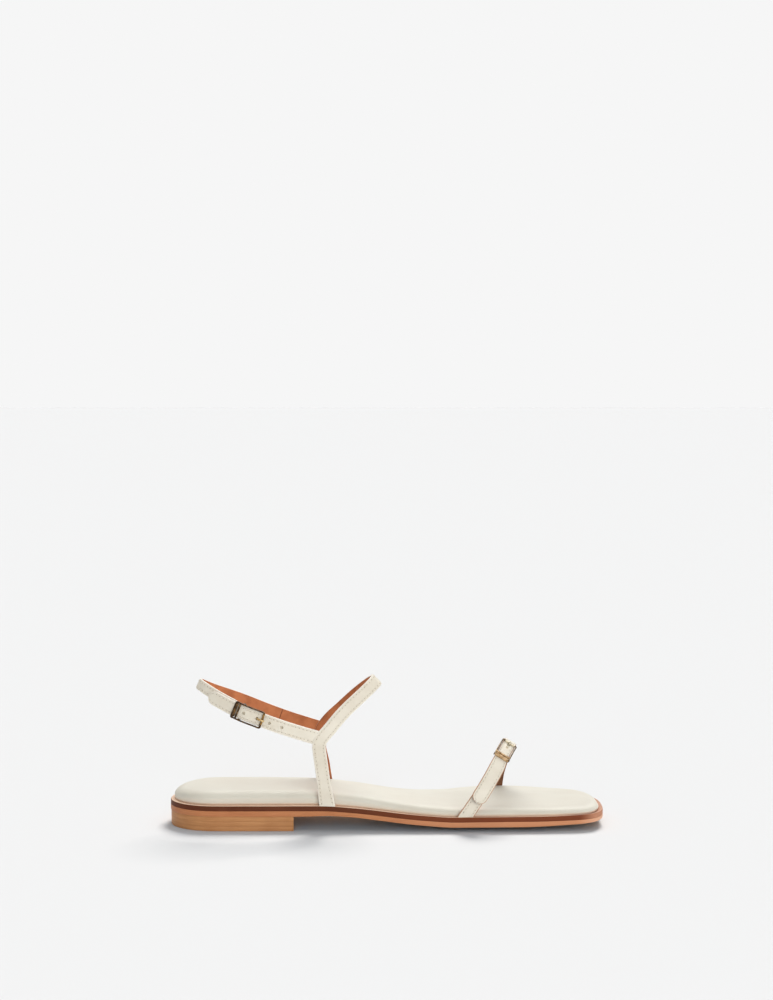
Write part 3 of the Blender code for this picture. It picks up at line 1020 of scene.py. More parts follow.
@dataclass
class SoleForm:
    """Plan, spine and heights that all layers of the sole share."""

    length: float = 261.5
    side_stations: int = 110
    crown_flat: float = 0.45
    slope_step: float = 0.01
    seat_gap: float = 0.3
    midsole: float = 3.0

    def __post_init__(self) -> None:
        """Read the tables and lay out the plan."""
        self.outer = Curve(SOLE_PLAN, "outer")
        self.inner = Curve(SOLE_PLAN, "inner")
        self.under = Curve(SOLE_SIDE, "under")
        self.crown = Curve(SOLE_SIDE, "crown")
        self.outsole = Curve(SOLE_SIDE, "outsole")
        self.pad = Curve(SOLE_SIDE, "pad")
        self.ledge = Curve(SOLE_SIDE, "ledge")
        self.edge, self.spine = self.plan()
        along = np.roll(self.edge, -2, axis=0) - np.roll(self.edge, 2, axis=0)
        along /= np.linalg.norm(along, axis=1)[:, None]
        self.outward = np.stack([along[:, 1], -along[:, 0]], axis=1)

    def x_of(self, share: float) -> float:
        """Place along the sole of a share of its length."""
        return self.length * (share - 0.5)

    def share_of(self, x: np.ndarray) -> np.ndarray:
        """Share of the length at a place along the sole."""
        return x / self.length + 0.5

    def narrowing(self, curve: Curve, end: EndRow, sign: int) -> float:
        """How fast a side draws in where a round end starts."""
        back = end.share - sign * self.slope_step
        return float(curve(back) - curve(end.share)) / (self.slope_step * self.length)

    def end_points(self, end: EndRow, sign: int) -> list[tuple[float, float]]:
        """Points of a round end in order round the sole.

        Args:
            end: Row of the end.
            sign: 1 at the toe and -1 at the heel.

        Returns:
            Points without the two where the sides begin.
        """
        start = self.x_of(end.share)
        reach = abs(self.x_of(end.tip_share) - start)
        half = {-1: self.outer(end.share) + end.tip_y, 1: self.inner(end.share) - end.tip_y}
        power = {-1: end.outer_power, 1: end.inner_power}
        inward = {-1: self.narrowing(self.outer, end, sign), 1: self.narrowing(self.inner, end, sign)}
        points = []
        for i in range(1, end.steps + 1):
            turn = -0.5 * math.pi + math.pi * i / (end.steps + 1)
            side = 1 if math.sin(turn) > 0 else -1
            c, s = abs(math.cos(turn)) / reach, abs(math.sin(turn)) / half[side]
            radius = (c ** power[side] + s ** power[side]) ** (-1.0 / power[side])
            forward = radius * math.cos(turn)
            taper = 1 - inward[side] * forward / half[side]
            points.append((start + sign * forward, end.tip_y + taper * radius * math.sin(turn)))
        return points if sign > 0 else points[::-1]

    def plan(self) -> tuple[np.ndarray, np.ndarray]:
        """Lay out the plan.

        Returns:
            Edge points, outer side first, and the spine point that each one faces.
        """
        shares = np.linspace(HEEL_END.share, TOE_END.share, self.side_stations)
        outer = [(self.x_of(share), -self.outer(share)) for share in shares]
        inner = [(self.x_of(share), self.inner(share)) for share in shares]
        middle = [(x, 0.5 * (y + inner[i][1])) for i, (x, y) in enumerate(outer)]
        toe = self.end_points(TOE_END, 1)
        heel = self.end_points(HEEL_END, -1)
        edge = outer + toe + inner[::-1] + heel
        spine = middle + [middle[-1]] * len(toe) + middle[::-1] + [middle[0]] * len(heel)
        return np.array(edge, float), np.array(spine, float)

    def ring(self, inset: Union[float, np.ndarray], fill: float = 1.0) -> np.ndarray:
        """Plan ring that lies inset from the edge, drawn in towards the spine by fill."""
        ring = self.edge - np.reshape(inset, (-1, 1)) * self.outward
        return self.spine + (ring - self.spine) * fill

    def floor(self, ring: np.ndarray) -> np.ndarray:
        """Height of the outsole's underside.

        Args:
            ring: Points of a plan ring.

        Returns:
            One height for each point.
        """
        span = np.linalg.norm(self.edge - self.spine, axis=1)
        out = np.linalg.norm(ring - self.spine, axis=1) / span
        lift = np.clip((out - self.crown_flat) / (1 - self.crown_flat), 0.0, None) ** 2
        share = self.share_of(ring[:, 0])
        return self.under(share) + self.crown(share) * lift

    def at_height(self, ring: np.ndarray, height: Callable[[np.ndarray], np.ndarray]) -> np.ndarray:
        """Points of a plan ring at a height above the underside."""
        return np.column_stack([ring, self.floor(ring) + height(self.share_of(ring[:, 0]))])

    def midsole_top(self, share: np.ndarray) -> np.ndarray:
        """Height of the midsole's top above the underside."""
        return self.outsole(share) + self.seat_gap + self.midsole

    def seam(self, share: np.ndarray) -> np.ndarray:
        """Height above the underside where outsole and midsole meet, halfway up the gap of their solids."""
        return self.outsole(share) + 0.5 * self.seat_gap

    def stand(self, x: float) -> float:
        """Height of the midsole's ledge at x."""
        share = self.share_of(x)
        return float(self.under(share) + self.crown(share) + self.midsole_top(share))


@dataclass
class SoleStack:
    """Outsole, heel, midsole and padded insole."""

    form: SoleForm
    shoulder: float = 7.0
    shoulder_drop: float = 4.4
    shoulder_foot: float = 1.6
    shoulder_steps: int = 10
    pad_crown: float = 0.9
    pad_sink: float = 0.1
    pad_fill: float = 0.9
    tuck: float = 0.9
    tuck_rows: tuple[tuple[float, float], ...] = ((0.5, 0.3), (0.16, 0.8), (0.0, 1.5))
    turns: tuple[float, ...] = (0.0, 22.5, 45.0, 67.5, 90.0)
    under_to: float = 30.0
    outsole_rounds: tuple[float, float] = (0.4, 0.25)
    midsole_rounds: tuple[float, float] = (0.25, 0.75)
    ledge_from: float = 40.0
    heel_inset: float = 0.3
    breast_outer: float = -55.2
    breast_inner: float = -59.0
    breast_hollow: float = 2.5
    breast_steps: int = 31
    breast_clear: float = 1.0
    heel_rows: tuple[tuple[float, float], ...] = (
        (0.0, 0.35),
        (0.08, 0.16),
        (0.2, 0.05),
        (0.4, 0.0),
        (2.75, 0.0),
        (2.9, 0.05),
        (3.05, 0.0),
        (5.65, 0.0),
        (5.8, 0.05),
        (5.95, 0.0),
        (8.2, 0.0),
        (8.4, 0.12),
        (8.7, 0.12),
    )
    fills: tuple[float, ...] = (0.94, 0.86, 0.78, 0.7, 0.6, 0.52, 0.45, 0.3, 0.15, 0.0)

    def build(self) -> None:
        """Build every layer."""
        self.build_outsole()
        self.build_midsole()
        self.build_heel()
        self.build_insole()

    def slab(
        self,
        name: str,
        low: Callable[[np.ndarray], np.ndarray],
        high: Callable[[np.ndarray], np.ndarray],
        finishes: Sequence[bpy.types.Material],
        rounds: tuple[float, float],
        top_from: float = 60.0,
    ) -> bpy.types.Object:
        """Layer of the sole between two heights, with rounded edges.

        Args:
            name: Name of the piece.
            low: Height of its underside.
            high: Height of its top.
            finishes: Materials of the underside, the edge and the top.
            rounds: Radius of the lower and of the upper edge.
            top_from: How far round the upper edge the top's finish starts, in degrees.

        Returns:
            The layer.
        """
        form = self.form
        rings, paint = [], []
        for fill in reversed(self.fills):
            rings.append(form.at_height(form.ring(rounds[0], fill), low))
            paint.append(Face.UNDER)
        for angle in self.turns:
            turn = math.radians(angle)
            inset, rise = rounds[0] * (1 - math.sin(turn)), rounds[0] * (1 - math.cos(turn))
            rings.append(form.at_height(form.ring(inset), lambda share: low(share) + rise))
            paint.append(Face.SIDE if angle > self.under_to else Face.UNDER)
        for angle in self.turns:
            turn = math.radians(angle)
            inset, drop = rounds[1] * (1 - math.cos(turn)), rounds[1] * (1 - math.sin(turn))
            rings.append(form.at_height(form.ring(inset), lambda share: high(share) - drop))
            paint.append(Face.SIDE if angle < top_from else Face.TOP)
        for fill in self.fills:
            rings.append(form.at_height(form.ring(rounds[1], fill), high))
            paint.append(Face.TOP)
        paint = np.repeat(np.array(paint[:-1])[:, None], len(form.edge), axis=1)
        return loft(name, np.array(rings), finishes, paint=paint, angle=50.0)

    def build_outsole(self) -> None:
        """Thin leather outsole."""
        side = LayerEdge(
            "outsole_edge",
            tint(198, 132, 88),
            tint(178, 112, 72),
            # The first stage reddens the front; the last lightens the toe end as a painted highlight.
            stages=(
                ToneStage(tint(208, 143, 103), -20.0, 50.0),
                ToneStage(tint(222, 172, 140), 112.0, 128.0),
            ),
        ).material()
        under = TreadLeather().material()

        def low(share: np.ndarray) -> np.ndarray:
            """Underside, which the heights are measured from."""
            return np.zeros_like(share)

        finishes = (under, side, side)
        piece = self.slab("outsole_layer", low, self.form.seam, finishes, self.outsole_rounds)
        seat(piece, "outsole_leather", "outsole")

    def build_midsole(self) -> None:
        """Dark layer whose edge stands proud of the insole."""
        side = LayerEdge(
            "midsole_edge",
            tint(106, 58, 36),
            tint(86, 44, 26),
            roughness=0.45,
            gloss=0.1,
            # The first stage reddens the front; the last lightens the toe end as a painted highlight.
            stages=(
                ToneStage(tint(124, 64, 38), -40.0, 50.0),
                ToneStage(tint(194, 138, 108), 114.0, 126.0),
            ),
        ).material()
        # The ledge's light pink tone is a painted highlight along the midsole's rounded upper edge; it gives
        # way to brown near the toe, and its last stage lightens the toe end as a painted highlight.
        top = LayerEdge(
            "midsole_ledge",
            tint(238, 208, 182),
            tint(224, 188, 160),
            roughness=0.5,
            stages=(
                ToneStage(tint(168, 114, 88), 100.0, 118.0),
                ToneStage(tint(202, 154, 128), 119.0, 128.0),
            ),
        ).material()

        low, high = self.form.seam, self.form.midsole_top
        finishes = (side, side, top)
        piece = self.slab("midsole_layer", low, high, finishes, self.midsole_rounds, self.ledge_from)
        seat(piece, "midsole_leather", "midsole")

    def breast_points(self) -> list[tuple[float, float]]:
        """Shallow hollow line of the heel's front.

        Returns:
            Points from its outer to its inner corner.
        """
        form = self.form
        outer_y = self.heel_inset - float(form.outer(form.share_of(self.breast_outer)))
        inner_y = float(form.inner(form.share_of(self.breast_inner))) - self.heel_inset
        points = []
        for t in np.linspace(0.0, 1.0, self.breast_steps):
            hollow = self.breast_hollow * 4 * t * (1 - t)
            x = self.breast_outer + (self.breast_inner - self.breast_outer) * t - hollow
            points.append((x, outer_y + (inner_y - outer_y) * t))
        return points

    def build_heel(self) -> None:
        """Low stacked heel with a hollow breast and rounded lower edge."""
        form = self.form
        ring = form.ring(self.heel_inset)
        back = min(self.breast_outer, self.breast_inner) - self.breast_clear
        first = next(i for i in range(len(ring)) if ring[i - 1, 0] > back > ring[i, 0])
        count = int(np.sum(ring[:, 0] < back))
        order = [(first + i) % len(ring) for i in range(count)]
        outline = np.vstack([ring[order], self.breast_points()])
        along = np.roll(outline, -1, axis=0) - np.roll(outline, 1, axis=0)
        along /= np.linalg.norm(along, axis=1)[:, None]
        outward = np.stack([along[:, 1], -along[:, 0]], axis=1)
        rings = []
        for height, inset in self.heel_rows:
            flat = outline - inset * outward
            rings.append(np.column_stack([flat, np.full(len(flat), height)]))
        finish = StackedLifts().material()
        piece = loft("heel_stack", np.array(rings), (finish,), capped=True, angle=40.0)
        seat(piece, "stacked_leather", "heel")

    def build_insole(self) -> None:
        """Padded insole: a crowned form with round shoulders and an edge that tucks in under itself."""
        form = self.form

        def low(share: np.ndarray) -> np.ndarray:
            """Underside, lowered on to the midsole."""
            return form.midsole_top(share) - self.pad_sink

        def high(share: np.ndarray) -> np.ndarray:
            """Top of the pad before it crowns."""
            return form.midsole_top(share) + form.seat_gap + form.pad(share)

        ledge = form.ledge(form.share_of(form.edge[:, 0]))
        rings = [form.at_height(form.ring(ledge + self.tuck, fill), low) for fill in reversed(self.fills)]
        rises = [0.0] * len(rings)
        for inset, rise in ((self.tuck, 0.0), *self.tuck_rows):
            rings.append(form.at_height(form.ring(ledge + inset), lambda share: low(share) + rise))
            rises.append(rise)
        for angle in np.linspace(0.0, 90.0, self.shoulder_steps + 1):
            turn = math.radians(angle)
            ring = form.ring(ledge + self.shoulder * (1 - math.cos(turn)))
            drop = self.shoulder_drop * (1 - math.sin(turn))

            def side(share: np.ndarray) -> np.ndarray:
                """Shoulder, held above its foot where the pad is thin."""
                return np.maximum(high(share) - drop, low(share) + self.shoulder_foot)

            rings.append(form.at_height(ring, side))
            rises.append(self.shoulder_foot + self.shoulder_drop - drop)
        top = ledge + self.shoulder
        for fill in self.fills:
            crown = self.pad_crown * (1 - fill * fill)
            rings.append(form.at_height(form.ring(top, fill), lambda share: high(share) + crown))
            rises.append(self.shoulder_foot + self.shoulder_drop)
        # Each ring's rise feeds the cover's painted warm bounce light near the pad's foot.
        uv = np.zeros((len(rings), len(form.edge), 2))
        uv[..., 1] = np.array(rises)[:, None]
        piece = loft("insole_pad", np.array(rings), (PadLeather().material(),), uv=uv, angle=60.0)
        seat(piece, "insole_leather", "insole")


# Straps


class Band:
    """Route that a strap lies on, with places given along it, across it and out from it."""

    SAMPLES = 900

    def __init__(self, rows: Sequence[RouteRow]) -> None:
        """Run a smooth route through the rows.

        Args:
            rows: Points of the route, in order.
        """
        points = np.array([(row.x, row.y, row.z, row.lean) for row in rows], float)
        chord = np.linalg.norm(np.diff(points[:, :3], axis=0), axis=1)
        knots = np.concatenate([[0.0], np.cumsum(chord)])
        fine = spline(knots, points, np.linspace(0.0, knots[-1], self.SAMPLES))
        self.points = fine[:, :3]
        lean = np.radians(fine[:, 3])
        along = np.gradient(self.points, axis=0)
        along /= np.linalg.norm(along, axis=1)[:, None]
        wide = np.column_stack([np.cos(lean), np.zeros(len(lean)), np.sin(lean)])
        self.out = np.cross(wide, along)
        self.out /= np.linalg.norm(self.out, axis=1)[:, None]
        self.wide = np.cross(along, self.out)
        steps = np.linalg.norm(np.diff(self.points, axis=0), axis=1)
        self.run = np.concatenate([[0.0], np.cumsum(steps)])
        self.length = float(self.run[-1])

    def at(self, places: np.ndarray) -> np.ndarray:
        """Points in space of places on the strap.

        Args:
            places: Rows of along, across and out.

        Returns:
            One point for each row.
        """
        places = np.asarray(places, float)
        along = places[..., 0]

        def sample(values: np.ndarray) -> np.ndarray:
            """Values of the route at the places, held at its ends."""
            return np.stack([np.interp(along, self.run, values[:, k]) for k in range(3)], axis=-1)

        past = along - np.clip(along, 0.0, self.length)
        point = sample(self.points) + past[..., None] * np.cross(sample(self.out), sample(self.wide))
        return point + places[..., 1:2] * sample(self.wide) + places[..., 2:3] * sample(self.out)


@dataclass
class Strap:
    """Strap of two leathers: a cream face, a tan lining and a painted edge."""

    name: str
    band: Band
    stations: np.ndarray
    width: Shift
    inner: Shift
    thick: Shift
    shift: Shift = field(default_factory=lambda: constant(0.0))
    crown: float = 0.14
    corner: float = 0.42
    corner_share: float = 0.45
    face_steps: int = 10
    corner_steps: int = 4

    def section(self, along: float) -> tuple[np.ndarray, np.ndarray, list[int]]:
        """Outline of the strap across its width.

        Args:
            along: Place along the route.

        Returns:
            Places of the outline, its places on the finish, and the finish of each stretch of it.
        """
        half = 0.5 * self.width(along)
        middle = self.shift(along)
        low = self.inner(along)
        high = low + self.thick(along)
        corner = min(self.corner, self.corner_share * half, self.corner_share * (high - low))
        turn = np.radians(np.linspace(0, 90, self.corner_steps + 1))
        flat = np.linspace(-1, 1, self.face_steps + 1)
        across, out, skin = [], [], []

        def arc(side: float, top: bool, rising: bool) -> None:
            """Add one rounded corner.

            Args:
                side: 1 for the higher side of the strap and -1 for the other.
                top: Whether it is a corner of the outer face.
                rising: Whether it runs from the side to the face.
            """
            for angle in turn if rising else turn[::-1]:
                across.append(side * (half - corner + corner * math.cos(angle)))
                reach = corner * math.sin(angle)
                out.append(high - corner + reach if top else low + corner - reach)
                skin.append(Skin.EDGE if top else Skin.LINING)

        arc(1.0, False, False)
        skin[-1] = Skin.EDGE
        arc(1.0, True, True)
        skin[-1] = Skin.FACE
        for share in flat[::-1][1:-1]:
            across.append(share * (half - corner))
            out.append(high + self.crown * (1 - share * share))
            skin.append(Skin.FACE)
        arc(-1.0, True, False)
        arc(-1.0, False, True)
        skin[-1] = Skin.LINING
        for share in flat[1:-1]:
            across.append(share * (half - corner))
            out.append(low)
            skin.append(Skin.LINING)
        across_array = np.array(across)
        places = np.column_stack([np.full(len(across), along), across_array + middle, out])
        inward = np.maximum(half - np.abs(across_array), 0.0)
        return places, np.column_stack([np.full(len(across), along), inward]), skin

    def build(
        self,
        finishes: Sequence[bpy.types.Material],
        stand: Optional[dict[int, SoleForm]] = None,
    ) -> bpy.types.Object:
        """Build the strap.

        Args:
            finishes: Materials of the face, the lining and the edge.
            stand: Which ends run on to the sole's ledge.

        Returns:
            The strap.
        """
        rings, uv, paint = [], [], []
        for along in self.stations:
            places, on_finish, skin = self.section(along)
            rings.append(self.band.at(places))
            uv.append(on_finish)
            paint.append(skin)
        for end, form in (stand or {}).items():
            self.run_on(rings, end, form)
        on_faces = np.array(paint[:-1])
        on_points = np.array(uv)
        return loft(self.name, np.array(rings), finishes, on_points, on_faces, capped=True, angle=50.0)

    @staticmethod
    def run_on(rings: list[np.ndarray], end: int, form: SoleForm, sink: float = 0.25) -> None:
        """Run the end of a strap on until it meets the sole's ledge.

        Args:
            rings: Sections of the strap.
            end: 0 for the first section or -1 for the last.
            form: Sole that the strap stands on.
            sink: How far the end sinks in.
        """
        last, before = rings[end], rings[1 if end == 0 else -2]
        for point, above in zip(last, before):
            level = form.stand(point[0]) - sink
            point += (point - above) * (level - point[2]) / (point[2] - above[2])

    def stitches(self, start: float, end: float, row: float, pitch: float) -> np.ndarray:
        """Places of the stitches of a strap's two rows.

        Args:
            start: Where the rows start along the route.
            end: Where they end.
            row: Distance of a row from the strap's edge.
            pitch: Length of a stitch with its gap.

        Returns:
            Rows of along, across, out and turn.
        """
        first = math.ceil(start / pitch)
        count = math.floor(end / pitch) - first
        places = []
        for i in range(count):
            along = (first + i) * pitch
            half = 0.5 * self.width(along)
            for side in (-1, 1):
                across = side * (half - row)
                crown = self.crown * (1 - (across / (half - self.corner)) ** 2)
                out = self.inner(along) + self.thick(along) + crown
                places.append((along, across + self.shift(along), out, 0.0))
        return np.array(places)

    def tip_stitches(self, tip: float, radius: float, toward: int, row: float, count: int) -> np.ndarray:
        """Places of the stitches round a strap's tip.

        Args:
            tip: Where the strap ends along the route.
            radius: Length of its round tip.
            toward: 1 where the tip is at the end of the strap and -1 where it is at the start.
            row: Distance of the stitches from the strap's edge.
            count: How many stitches go round.

        Returns:
            Rows of along, across, out and turn.
        """
        middle = tip - toward * radius
        half = 0.5 * self.width(middle) - row
        places = []
        for i in range(count):
            angle = math.pi * ((i + 0.5) / count - 0.5)
            along = middle + toward * (radius - row) * math.cos(angle)
            across = half * math.sin(angle)
            out = self.inner(along) + self.thick(along) + 0.5 * self.crown
            turn = math.atan2(half * math.cos(angle), -toward * (radius - row) * math.sin(angle))
            places.append((along, across + self.shift(along), out, turn))
        return np.array(places)


@dataclass
class StitchMaker:
    """Small raised stitches, one form copied along the rows."""

    long: float = 0.86
    wide: float = 0.27
    high: float = 0.2
    arch: float = 0.08
    end_drop: float = 0.1
    blunt: float = 2.6
    around: int = 8
    steps: int = 5

    def template(self) -> tuple[np.ndarray, list[tuple[int, ...]]]:
        """Form of one stitch, laid along the first axis.

        Returns:
            Its points and its faces.
        """
        points = [(-self.long, 0.0, -self.end_drop)]
        for i in range(1, self.steps):
            t = -math.cos(math.pi * i / self.steps)
            swell = math.sqrt(max(1 - abs(t) ** self.blunt, 0.0))
            lift = self.arch * (1 - t * t)
            for j in range(self.around):
                turn = 2 * math.pi * j / self.around
                across = self.wide * swell * math.cos(turn)
                points.append((self.long * t, across, self.high * swell * math.sin(turn) + lift))
        points.append((self.long, 0.0, -self.end_drop))
        faces = []
        for j in range(self.around):
            k = (j + 1) % self.around
            faces.append((0, 1 + k, 1 + j))
            for i in range(self.steps - 2):
                low, high = 1 + i * self.around, 1 + (i + 1) * self.around
                faces.append((low + j, low + k, high + k, high + j))
            top = 1 + (self.steps - 2) * self.around
            faces.append((top + j, top + k, len(points) - 1))
        return np.array(points), faces

    def build(
        self,
        name: str,
        band: Band,
        places: np.ndarray,
        finish: bpy.types.Material,
    ) -> bpy.types.Object:
        """Copy the stitch to every place.

        Args:
            name: Name of the piece.
            band: Route that the places lie on.
            places: Rows of along, across, out and turn.
            finish: Thread.

        Returns:
            One object with all the stitches.
        """
        form, faces = self.template()
        points, all_faces = [], []
        for i, place in enumerate(places):
            cos, sin = math.cos(place[3]), math.sin(place[3])
            turned = form @ np.array([[cos, sin, 0.0], [-sin, cos, 0.0], [0.0, 0.0, 1.0]])
            points.append(band.at(turned + place[:3]) * MM)
            base = i * len(form)
            all_faces += [tuple(base + corner for corner in face) for face in faces]
        mesh = bpy.data.meshes.new(name)
        mesh.from_pydata(np.vstack(points).tolist(), [], all_faces)
        mesh.materials.append(finish)
        piece = bpy.data.objects.new(name, mesh)
        bpy.context.scene.collection.objects.link(piece)
        finish_mesh(piece, angle=60.0, capped=False)
        return piece


def spread(start: float, end: float, step: float) -> np.ndarray:
    """Evenly spread places from start to end, about step apart."""
    return np.linspace(start, end, max(2, int(round(abs(end - start) / step)) + 1))


def tip_width(width: float, tip: float, radius: float) -> Shift:
    """Width of a strap that closes in a round tip.

    Args:
        width: Width of the strap.
        tip: Where it ends along the route.
        radius: Length of the round tip.

    Returns:
        Width at a place along the route.
    """

    def narrowed(along: float) -> float:
        """Width at one place."""
        inside = min(abs(along - tip) / radius, 1.0)
        return width * max(math.sqrt(1 - (1 - inside) ** 2), TIP_LEAST)

    return narrowed


def tip_stations(tip: float, radius: float, end: float, step: float) -> np.ndarray:
    """Stations of a strap that crowd together at its round tip.

    Args:
        tip: Where the strap's tip lies along the route.
        radius: Length of the round tip.
        end: Where the strap's other end lies.
        step: Distance between stations past the tip.

    Returns:
        Stations from the tip to the end.
    """
    sign = 1 if end > tip else -1
    near = tip + sign * radius * (1 - np.cos(np.linspace(0.0, 0.5 * math.pi, TIP_STEPS)))[:-1]
    return np.concatenate([near, spread(tip + sign * radius, end, step)])


@dataclass(frozen=True)
class BuckleRow:
    """Where a buckle lies on its route, which way its prong points, and where the strap's tail ends."""

    name: str
    pivot: float
    points: int
    reach: float
    tail_end: float
    shift: float
    width: float
    hole_back: float


HEEL_BUCKLE = BuckleRow("heel_buckle", 50.2, -1, 13.2, 72.2, -1.6, 8.4, 3.2)
TOE_BUCKLE = BuckleRow("toe_buckle", 44.2, 1, 16.4, 9.8, 0.0, 8.0, 1.9)


@dataclass(frozen=True)
class BuckleMetals:
    """Metals of a buckle: its sides, the bar that the prong rests on, its keeper and its prong."""

    side: bpy.types.Material
    bar: bpy.types.Material
    keeper: bpy.types.Material
    prong: bpy.types.Material

    @property
    def all(self) -> tuple[bpy.types.Material, ...]:
        """Metals of the frame, in the order of its paint."""
        return (self.side, self.bar, self.keeper)


@dataclass
class Buckle:
    """Cast frame with a keeper of two bars, a pivot below the strap and a prong."""

    row: BuckleRow
    band: Band
    keeper_back: float = 4.7
    keeper_half: float = 1.1
    keeper_step: float = 2.15
    second_half: float = 0.5
    # Share of the front bar's width that takes the bar metal and its painted light.
    bar_light_share: float = 0.72
    strap: float = 1.8
    gap: float = 0.3
    tuck: float = 0.4
    side_gap: float = 0.15
    side_half: float = 0.48
    bar_half: float = 0.6
    bar_rise: float = 0.55
    bar_step: float = 0.9
    bend: float = 0.75
    bend_steps: int = 9
    loop_step: float = 0.8
    oval_power: float = 0.6
    around: int = 16
    paint_slack: float = 0.1
    fall_margin: float = 1.5
    keeper_rise: float = 0.62
    pivot_half: float = 0.52
    pivot_low: float = 0.62
    lug_long: float = 0.75
    lug_half: float = 0.4
    lug_low: float = 0.55
    lug_over: float = 0.6
    lug_steps: int = 7
    prong_half: float = 0.55
    prong_rise: float = 0.42
    prong_over: float = 1.2
    prong_under: float = 0.45
    prong_steps: int = 48
    prong_tip: float = 0.7
    prong_taper: float = 0.72

    def inner(self, along: float) -> float:
        """Inner face of the holed strap: over the pivot, then down past the prong's bar.

        Args:
            along: Place along the route.

        Returns:
            Its distance out from the route.
        """
        forward = (along - self.row.pivot) * self.row.points
        fall = smooth_step((forward - self.fall_margin) / (self.row.reach - 2 * self.fall_margin))
        high = self.strap + self.gap
        return self.tuck + (high - self.tuck) * (1 - fall)

    def roof(self, along: float) -> float:
        """Lower face of the frame, just above the strap."""
        return self.inner(along) + self.strap + self.gap

    def along(self, forward: float) -> float:
        """Place along the route of a distance in front of the pivot."""
        return self.row.pivot + self.row.points * forward

    def half_width(self) -> float:
        """Distance across of the middle of the frame's sides."""
        return 0.5 * self.row.width + self.side_gap + self.side_half

    def turns(self) -> np.ndarray:
        """Angles of the points round a bar."""
        return 2 * math.pi * np.arange(self.around) / self.around

    def hole_forward(self) -> float:
        """Distance of the prong's hole in front of the pivot."""
        return self.row.reach - self.row.hole_back

    def frame_path(self) -> tuple[np.ndarray, np.ndarray]:
        """Rounded loop of the frame.

        Returns:
            Rows of distance in front of the pivot and across, and the half width of the bar at each.
        """
        half = self.half_width()
        front, back, bend = self.row.reach, -self.keeper_back + self.keeper_half, self.bend
        path, widths = [], []
        corners = ((front, half, 0), (back, half, 90), (back, -half, 180), (front, -half, 270))
        for forward, across, start in corners:
            middle = (forward - math.copysign(bend, forward), across - math.copysign(bend, across))
            bar = self.bar_half if forward > 0 else self.keeper_half
            for angle in np.linspace(start, start + 90, self.bend_steps):
                turn = math.radians(angle)
                point = (middle[0] + bend * math.cos(turn), middle[1] + bend * math.sin(turn))
                path.append(point)
                widths.append(self.side_half + (bar - self.side_half) * abs(math.cos(turn)))
        path_array, width_array = np.array(path), np.array(widths)
        closed = np.vstack([path_array, path_array[:1]])
        closed_width = np.append(width_array, width_array[0])
        run = np.concatenate([[0.0], np.cumsum(np.linalg.norm(np.diff(closed, axis=0), axis=1))])
        even = np.unique(np.concatenate([run, np.arange(0.0, run[-1], self.loop_step)]))[:-1]
        dense = np.column_stack([np.interp(even, run, closed[:, k]) for k in range(2)])
        return dense, np.interp(even, run, closed_width)

    def tube(
        self,
        name: str,
        rings: Sequence[np.ndarray],
        finishes: Sequence[bpy.types.Material],
        capped: bool = True,
        paint: Optional[np.ndarray] = None,
    ) -> bpy.types.Object:
        """Skin rings of strap places and lay them on the strap.

        Args:
            name: Name of the piece.
            rings: Sections of forward, across and out.
            finishes: Metals.
            capped: Whether its ends are closed.
            paint: Which metal each stretch takes.

        Returns:
            The piece.
        """
        rings_array = np.array(rings)
        rings_array[..., 0] = self.row.pivot + self.row.points * rings_array[..., 0]
        rings_array[..., 1] += self.row.shift
        return loft(name, self.band.at(rings_array), finishes, paint=paint, capped=capped, angle=50.0)

    def oval(self, middle: Sequence[float], side: Sequence[float], half: float, rise: float) -> np.ndarray:
        """Oval ring round a point of a bar.

        Args:
            middle: Place of the bar's middle.
            side: Direction across the bar, in forward and across.
            half: Half width of the bar.
            rise: Half height of the bar.

        Returns:
            Points of the ring.
        """
        turn = self.turns()
        c = np.sign(np.cos(turn)) * np.abs(np.cos(turn)) ** self.oval_power
        s = np.sign(np.sin(turn)) * np.abs(np.sin(turn)) ** self.oval_power
        return np.column_stack(
            [middle[0] + half * c * side[0], middle[1] + half * c * side[1], middle[2] + rise * s]
        )

    def crossbar(
        self,
        forward: float,
        half: float,
        rise: float,
        low: float,
        name: str,
        finish: bpy.types.Material,
    ) -> bpy.types.Object:
        """Bar from side to side of the frame.

        Args:
            forward: Distance in front of the pivot.
            half: Half width of the bar.
            rise: Half height of the bar.
            low: Height of its underside.
            name: Name of the piece.
            finish: Metal.

        Returns:
            The bar.
        """
        reach = self.half_width()
        rings = []
        for across in spread(-reach, reach, self.bar_step):
            rings.append(self.oval((forward, across, low + rise), (1.0, 0.0), half, rise))
        return self.tube(name, rings, (finish,))

    def build_frame(self, metals: BuckleMetals) -> bpy.types.Object:
        """Frame, keeper, lugs and pivot, as one casting.

        Args:
            metals: Metals of the buckle.

        Returns:
            The casting.
        """
        path, widths = self.frame_path()
        ahead = np.roll(path, -1, axis=0) - np.roll(path, 1, axis=0)
        ahead /= np.linalg.norm(ahead, axis=1)[:, None]
        rings = []
        for point, width, run in zip(path, widths, ahead):
            low = self.roof(self.along(point[0]))
            middle = (point[0], point[1], low + self.bar_rise)
            rings.append(self.oval(middle, (run[1], -run[0]), width, self.bar_rise))
        rings.append(rings[0])
        half = self.half_width()
